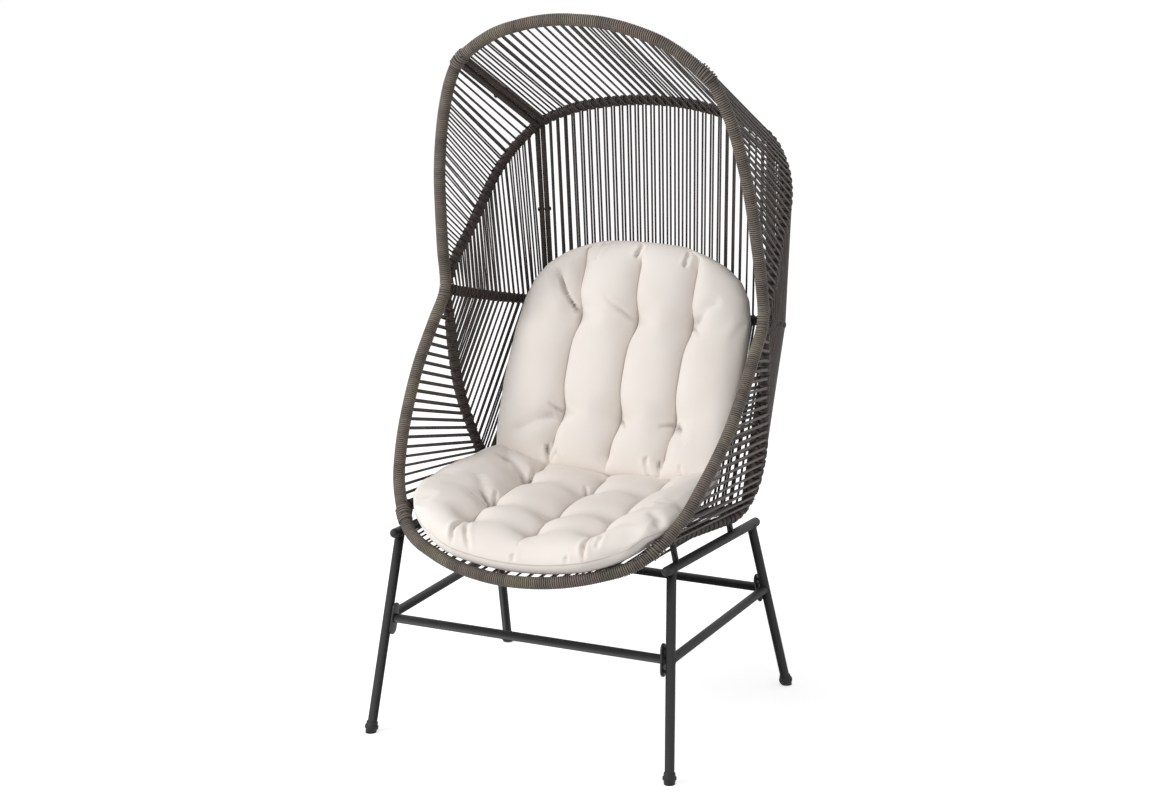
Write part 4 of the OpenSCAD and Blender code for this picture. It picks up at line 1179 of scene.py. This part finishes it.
def crease(mesh, lines, width=0.0043):
    """Presses lines into the face, each with a low lip beside it."""
    places, u, v, side = corners(mesh), *(kept(mesh, key) for key in ("across", "along", "side"))
    face = np.flatnonzero(side > 0)
    push = np.zeros(len(places))
    for depth, *stops in lines:
        ends = [places[face[np.argmin((u[face] - a) ** 2 + (v[face] - b) ** 2)]] for a, b in stops]
        line = Route(smooth(ends, 2 * ends[0] - ends[1], 2 * ends[-1] - ends[-2], 8))
        gap = np.linalg.norm(places[:, None] - line.p, axis=2)
        near, share = gap.min(1), line.s[gap.argmin(1)] / line.length
        fade = np.clip(6 * share * (1 - share), 0, 1) * (1 - 0.4 * share)
        push += 1.3 * depth * fade * (0.2 * dip(near - 2.3 * width, 1.3 * width) - dip(near, width))
    move_to(mesh, places + read(mesh.vertex_normals, "vector", 3) * push[:, None] / 1000)


def hollows(mesh, rounds=90, most=12):
    """Stores how deep each place lies below its surroundings, where the cloth is painted with
    shade.
    """
    places, ends = corners(mesh), read(mesh.edges, "vertices", 2, np.int32)
    count, soft = np.bincount(ends.ravel(), minlength=len(places))[:, None], places.copy()
    for _ in range(rounds):
        total = [sum(np.bincount(a, soft[b, k], len(places)) for a, b in (ends.T, ends.T[::-1]))
                 for k in range(3)]
        soft = np.stack(total, 1) / count
    below = (soft - places) * read(mesh.vertex_normals, "vector", 3)
    depth = np.clip(below.sum(1) * 1000, 0, most)
    keep(mesh, "hollow", depth)
    print(mesh.name, "deepest hollow", round(float(depth.max()), 1), "mm")


# %% [markdown]
# The cover is cream woven cloth: rough, with no gloss, and a fine weave that
# only shows up close. Hollows along the stitching are painted greyer as
# painted shade, and the edge seam is painted a little darker as painted shade.

# %% Cushion cloth
cloth, t, looks = surface("cushion_cloth", 0.9, Specular_IOR_Level=0.15)
place = t.place()
cream = t.ramp(t.noise(place, 5.0, 3.0), (0.3, colour(231, 223, 216)), (0.7, colour(238, 231, 225)))
# painted shade: the cloth is mixed towards grey in the hollows along the stitching
crease_painted_shade = t.ranged(t.attribute("hollow"), 0.8, 11.0, 0.0, 0.9)
cream = t.mix(crease_painted_shade, cream, colour(136, 127, 121))
# the edge seam is a bumped ridge, and its colour is painted darker there as painted shade
seam_ridge_and_shade = t.ranged(t.math("ABSOLUTE", t.attribute("side")), 0.0, 0.5, 1.0, 0.0, "SMOOTHSTEP")
cream = t.mix(t.math("MULTIPLY", seam_ridge_and_shade, 0.45), cream, colour(170, 160, 152))
t.link(cream, looks["Base Color"])
threads = t.noise(place, 1400.0, 2.0)
bumped(t, looks, t.math("MULTIPLY_ADD", threads, 0.12, seam_ridge_and_shade), 0.5, 0.0012)

# %% [markdown]
# Stitches, edge seam and underside are held while the pad is inflated. Then the
# mesh is made finer, and the creases are pressed in.

# %% Both pads
for name, pad in PADS.items():
    piece = pillow(name, pad)
    mesh = piece.data
    u, v, side = (kept(mesh, key) for key in ("across", "along", "side"))
    low, high = pad["stitched"]
    on_seam = np.min([abs(u - s) for s in SEAMS], axis=0) < 1e-6
    stitched = on_seam & (side > 0) & (v > low) & (v < high)
    resting = (side < 0) & (abs(u) < 0.88) & (v > 0.1)
    held = np.where(stitched | (side == 0), 1.0, np.where(resting, 0.9, 0.0))
    inflate(piece, held)
    mesh.materials.append(cloth)
    mesh.shade_smooth()
    with bpy.context.temp_override(active_object=piece, object=piece):
        piece.modifiers.new("fine", "SUBSURF").levels = 1
        bpy.ops.object.modifier_apply(modifier="fine")
    crease(piece.data, FOLDS[name], 0.013)
    crease(piece.data, CREASES[name])
    hollows(piece.data)
    settle(piece, pad["node"], "cushion")

# %% [markdown]
# ## Stage
# A white floor and white surroundings, as in a studio, with soft level light.
# The camera stands where the chair's measured places line up.


# %% Floor, light and camera
def background_ray(t):
    """One for rays that see the background directly, by gloss or through glass."""
    path = t.add("ShaderNodeLightPath").outputs
    return t.math("MAXIMUM", path["Is Camera Ray"],
                  t.math("MAXIMUM", path["Is Glossy Ray"], path["Is Transmission Ray"]))


HALF_FLOOR = 30
floor_shape = bpy.data.meshes.new("floor")
floor_shape.from_pydata([(x * HALF_FLOOR, y * HALF_FLOOR, 0)
                         for x, y in ((-1, -1), (1, -1), (1, 1), (-1, 1))], [], [(0, 1, 2, 3)])
placed("floor", floor_shape)
white, t, looks = surface("floor_white", 0.9, Base_Color=(0.8, 0.8, 0.8, 1),
                          Specular_IOR_Level=0.0, Emission_Color=(1, 1, 1, 1))
t.link(t.math("MULTIPLY", background_ray(t), 0.62), looks["Emission Strength"])
floor_shape.materials.append(white)

sky = bpy.data.worlds.new("studio")
bpy.context.scene.world = sky
sky.use_nodes = True
t = Tree(sky.node_tree)
ground = sky.node_tree.nodes["Background"].inputs
ground["Color"].default_value = (1, 1, 1, 1)
t.link(t.math("MULTIPLY_ADD", background_ray(t), 0.5, 0.5), ground["Strength"])

AIM = Vector((0, 0, 0.8))
for name, place, size, power in (("key", (-2.9, -3.5, 3.3), 1.6, 166),
                                 ("fill", (3.8, -3.0, 2.4), 2.4, 12),
                                 ("top", (0.0, -0.2, 4.2), 2.2, 12)):
    light = bpy.data.lights.new(name, "AREA")
    light.shape, light.size, light.size_y, light.energy = "RECTANGLE", size, size, power
    holder = placed(name, light)
    holder.location = place
    holder.rotation_euler = (AIM - Vector(place)).to_track_quat("-Z", "Y").to_euler()

FOCAL = 2910 / 1160  # focal length as a share of the picture's width
SENSOR = 36
az, el, roll = (math.radians(a) for a in (25.42, 14.5, -0.164))
back_way = Vector((math.sin(az) * math.cos(el), -math.cos(az) * math.cos(el), math.sin(el)))
right_way = Vector((math.cos(az), math.sin(az), 0))
up_way = back_way.cross(right_way)
x_way = math.cos(roll) * right_way + math.sin(roll) * up_way
y_way = math.cos(roll) * up_way - math.sin(roll) * right_way
lens = bpy.data.cameras.new("camera")
lens.sensor_width, lens.lens = SENSOR, SENSOR * FOCAL
camera = placed("camera", lens)
camera.matrix_world = Matrix((x_way, y_way, back_way)).transposed().to_4x4()
camera.location = (2.5203, -5.34785, 2.2031)
bpy.context.scene.camera = camera
bpy.context.scene.view_settings.view_transform = "Standard"
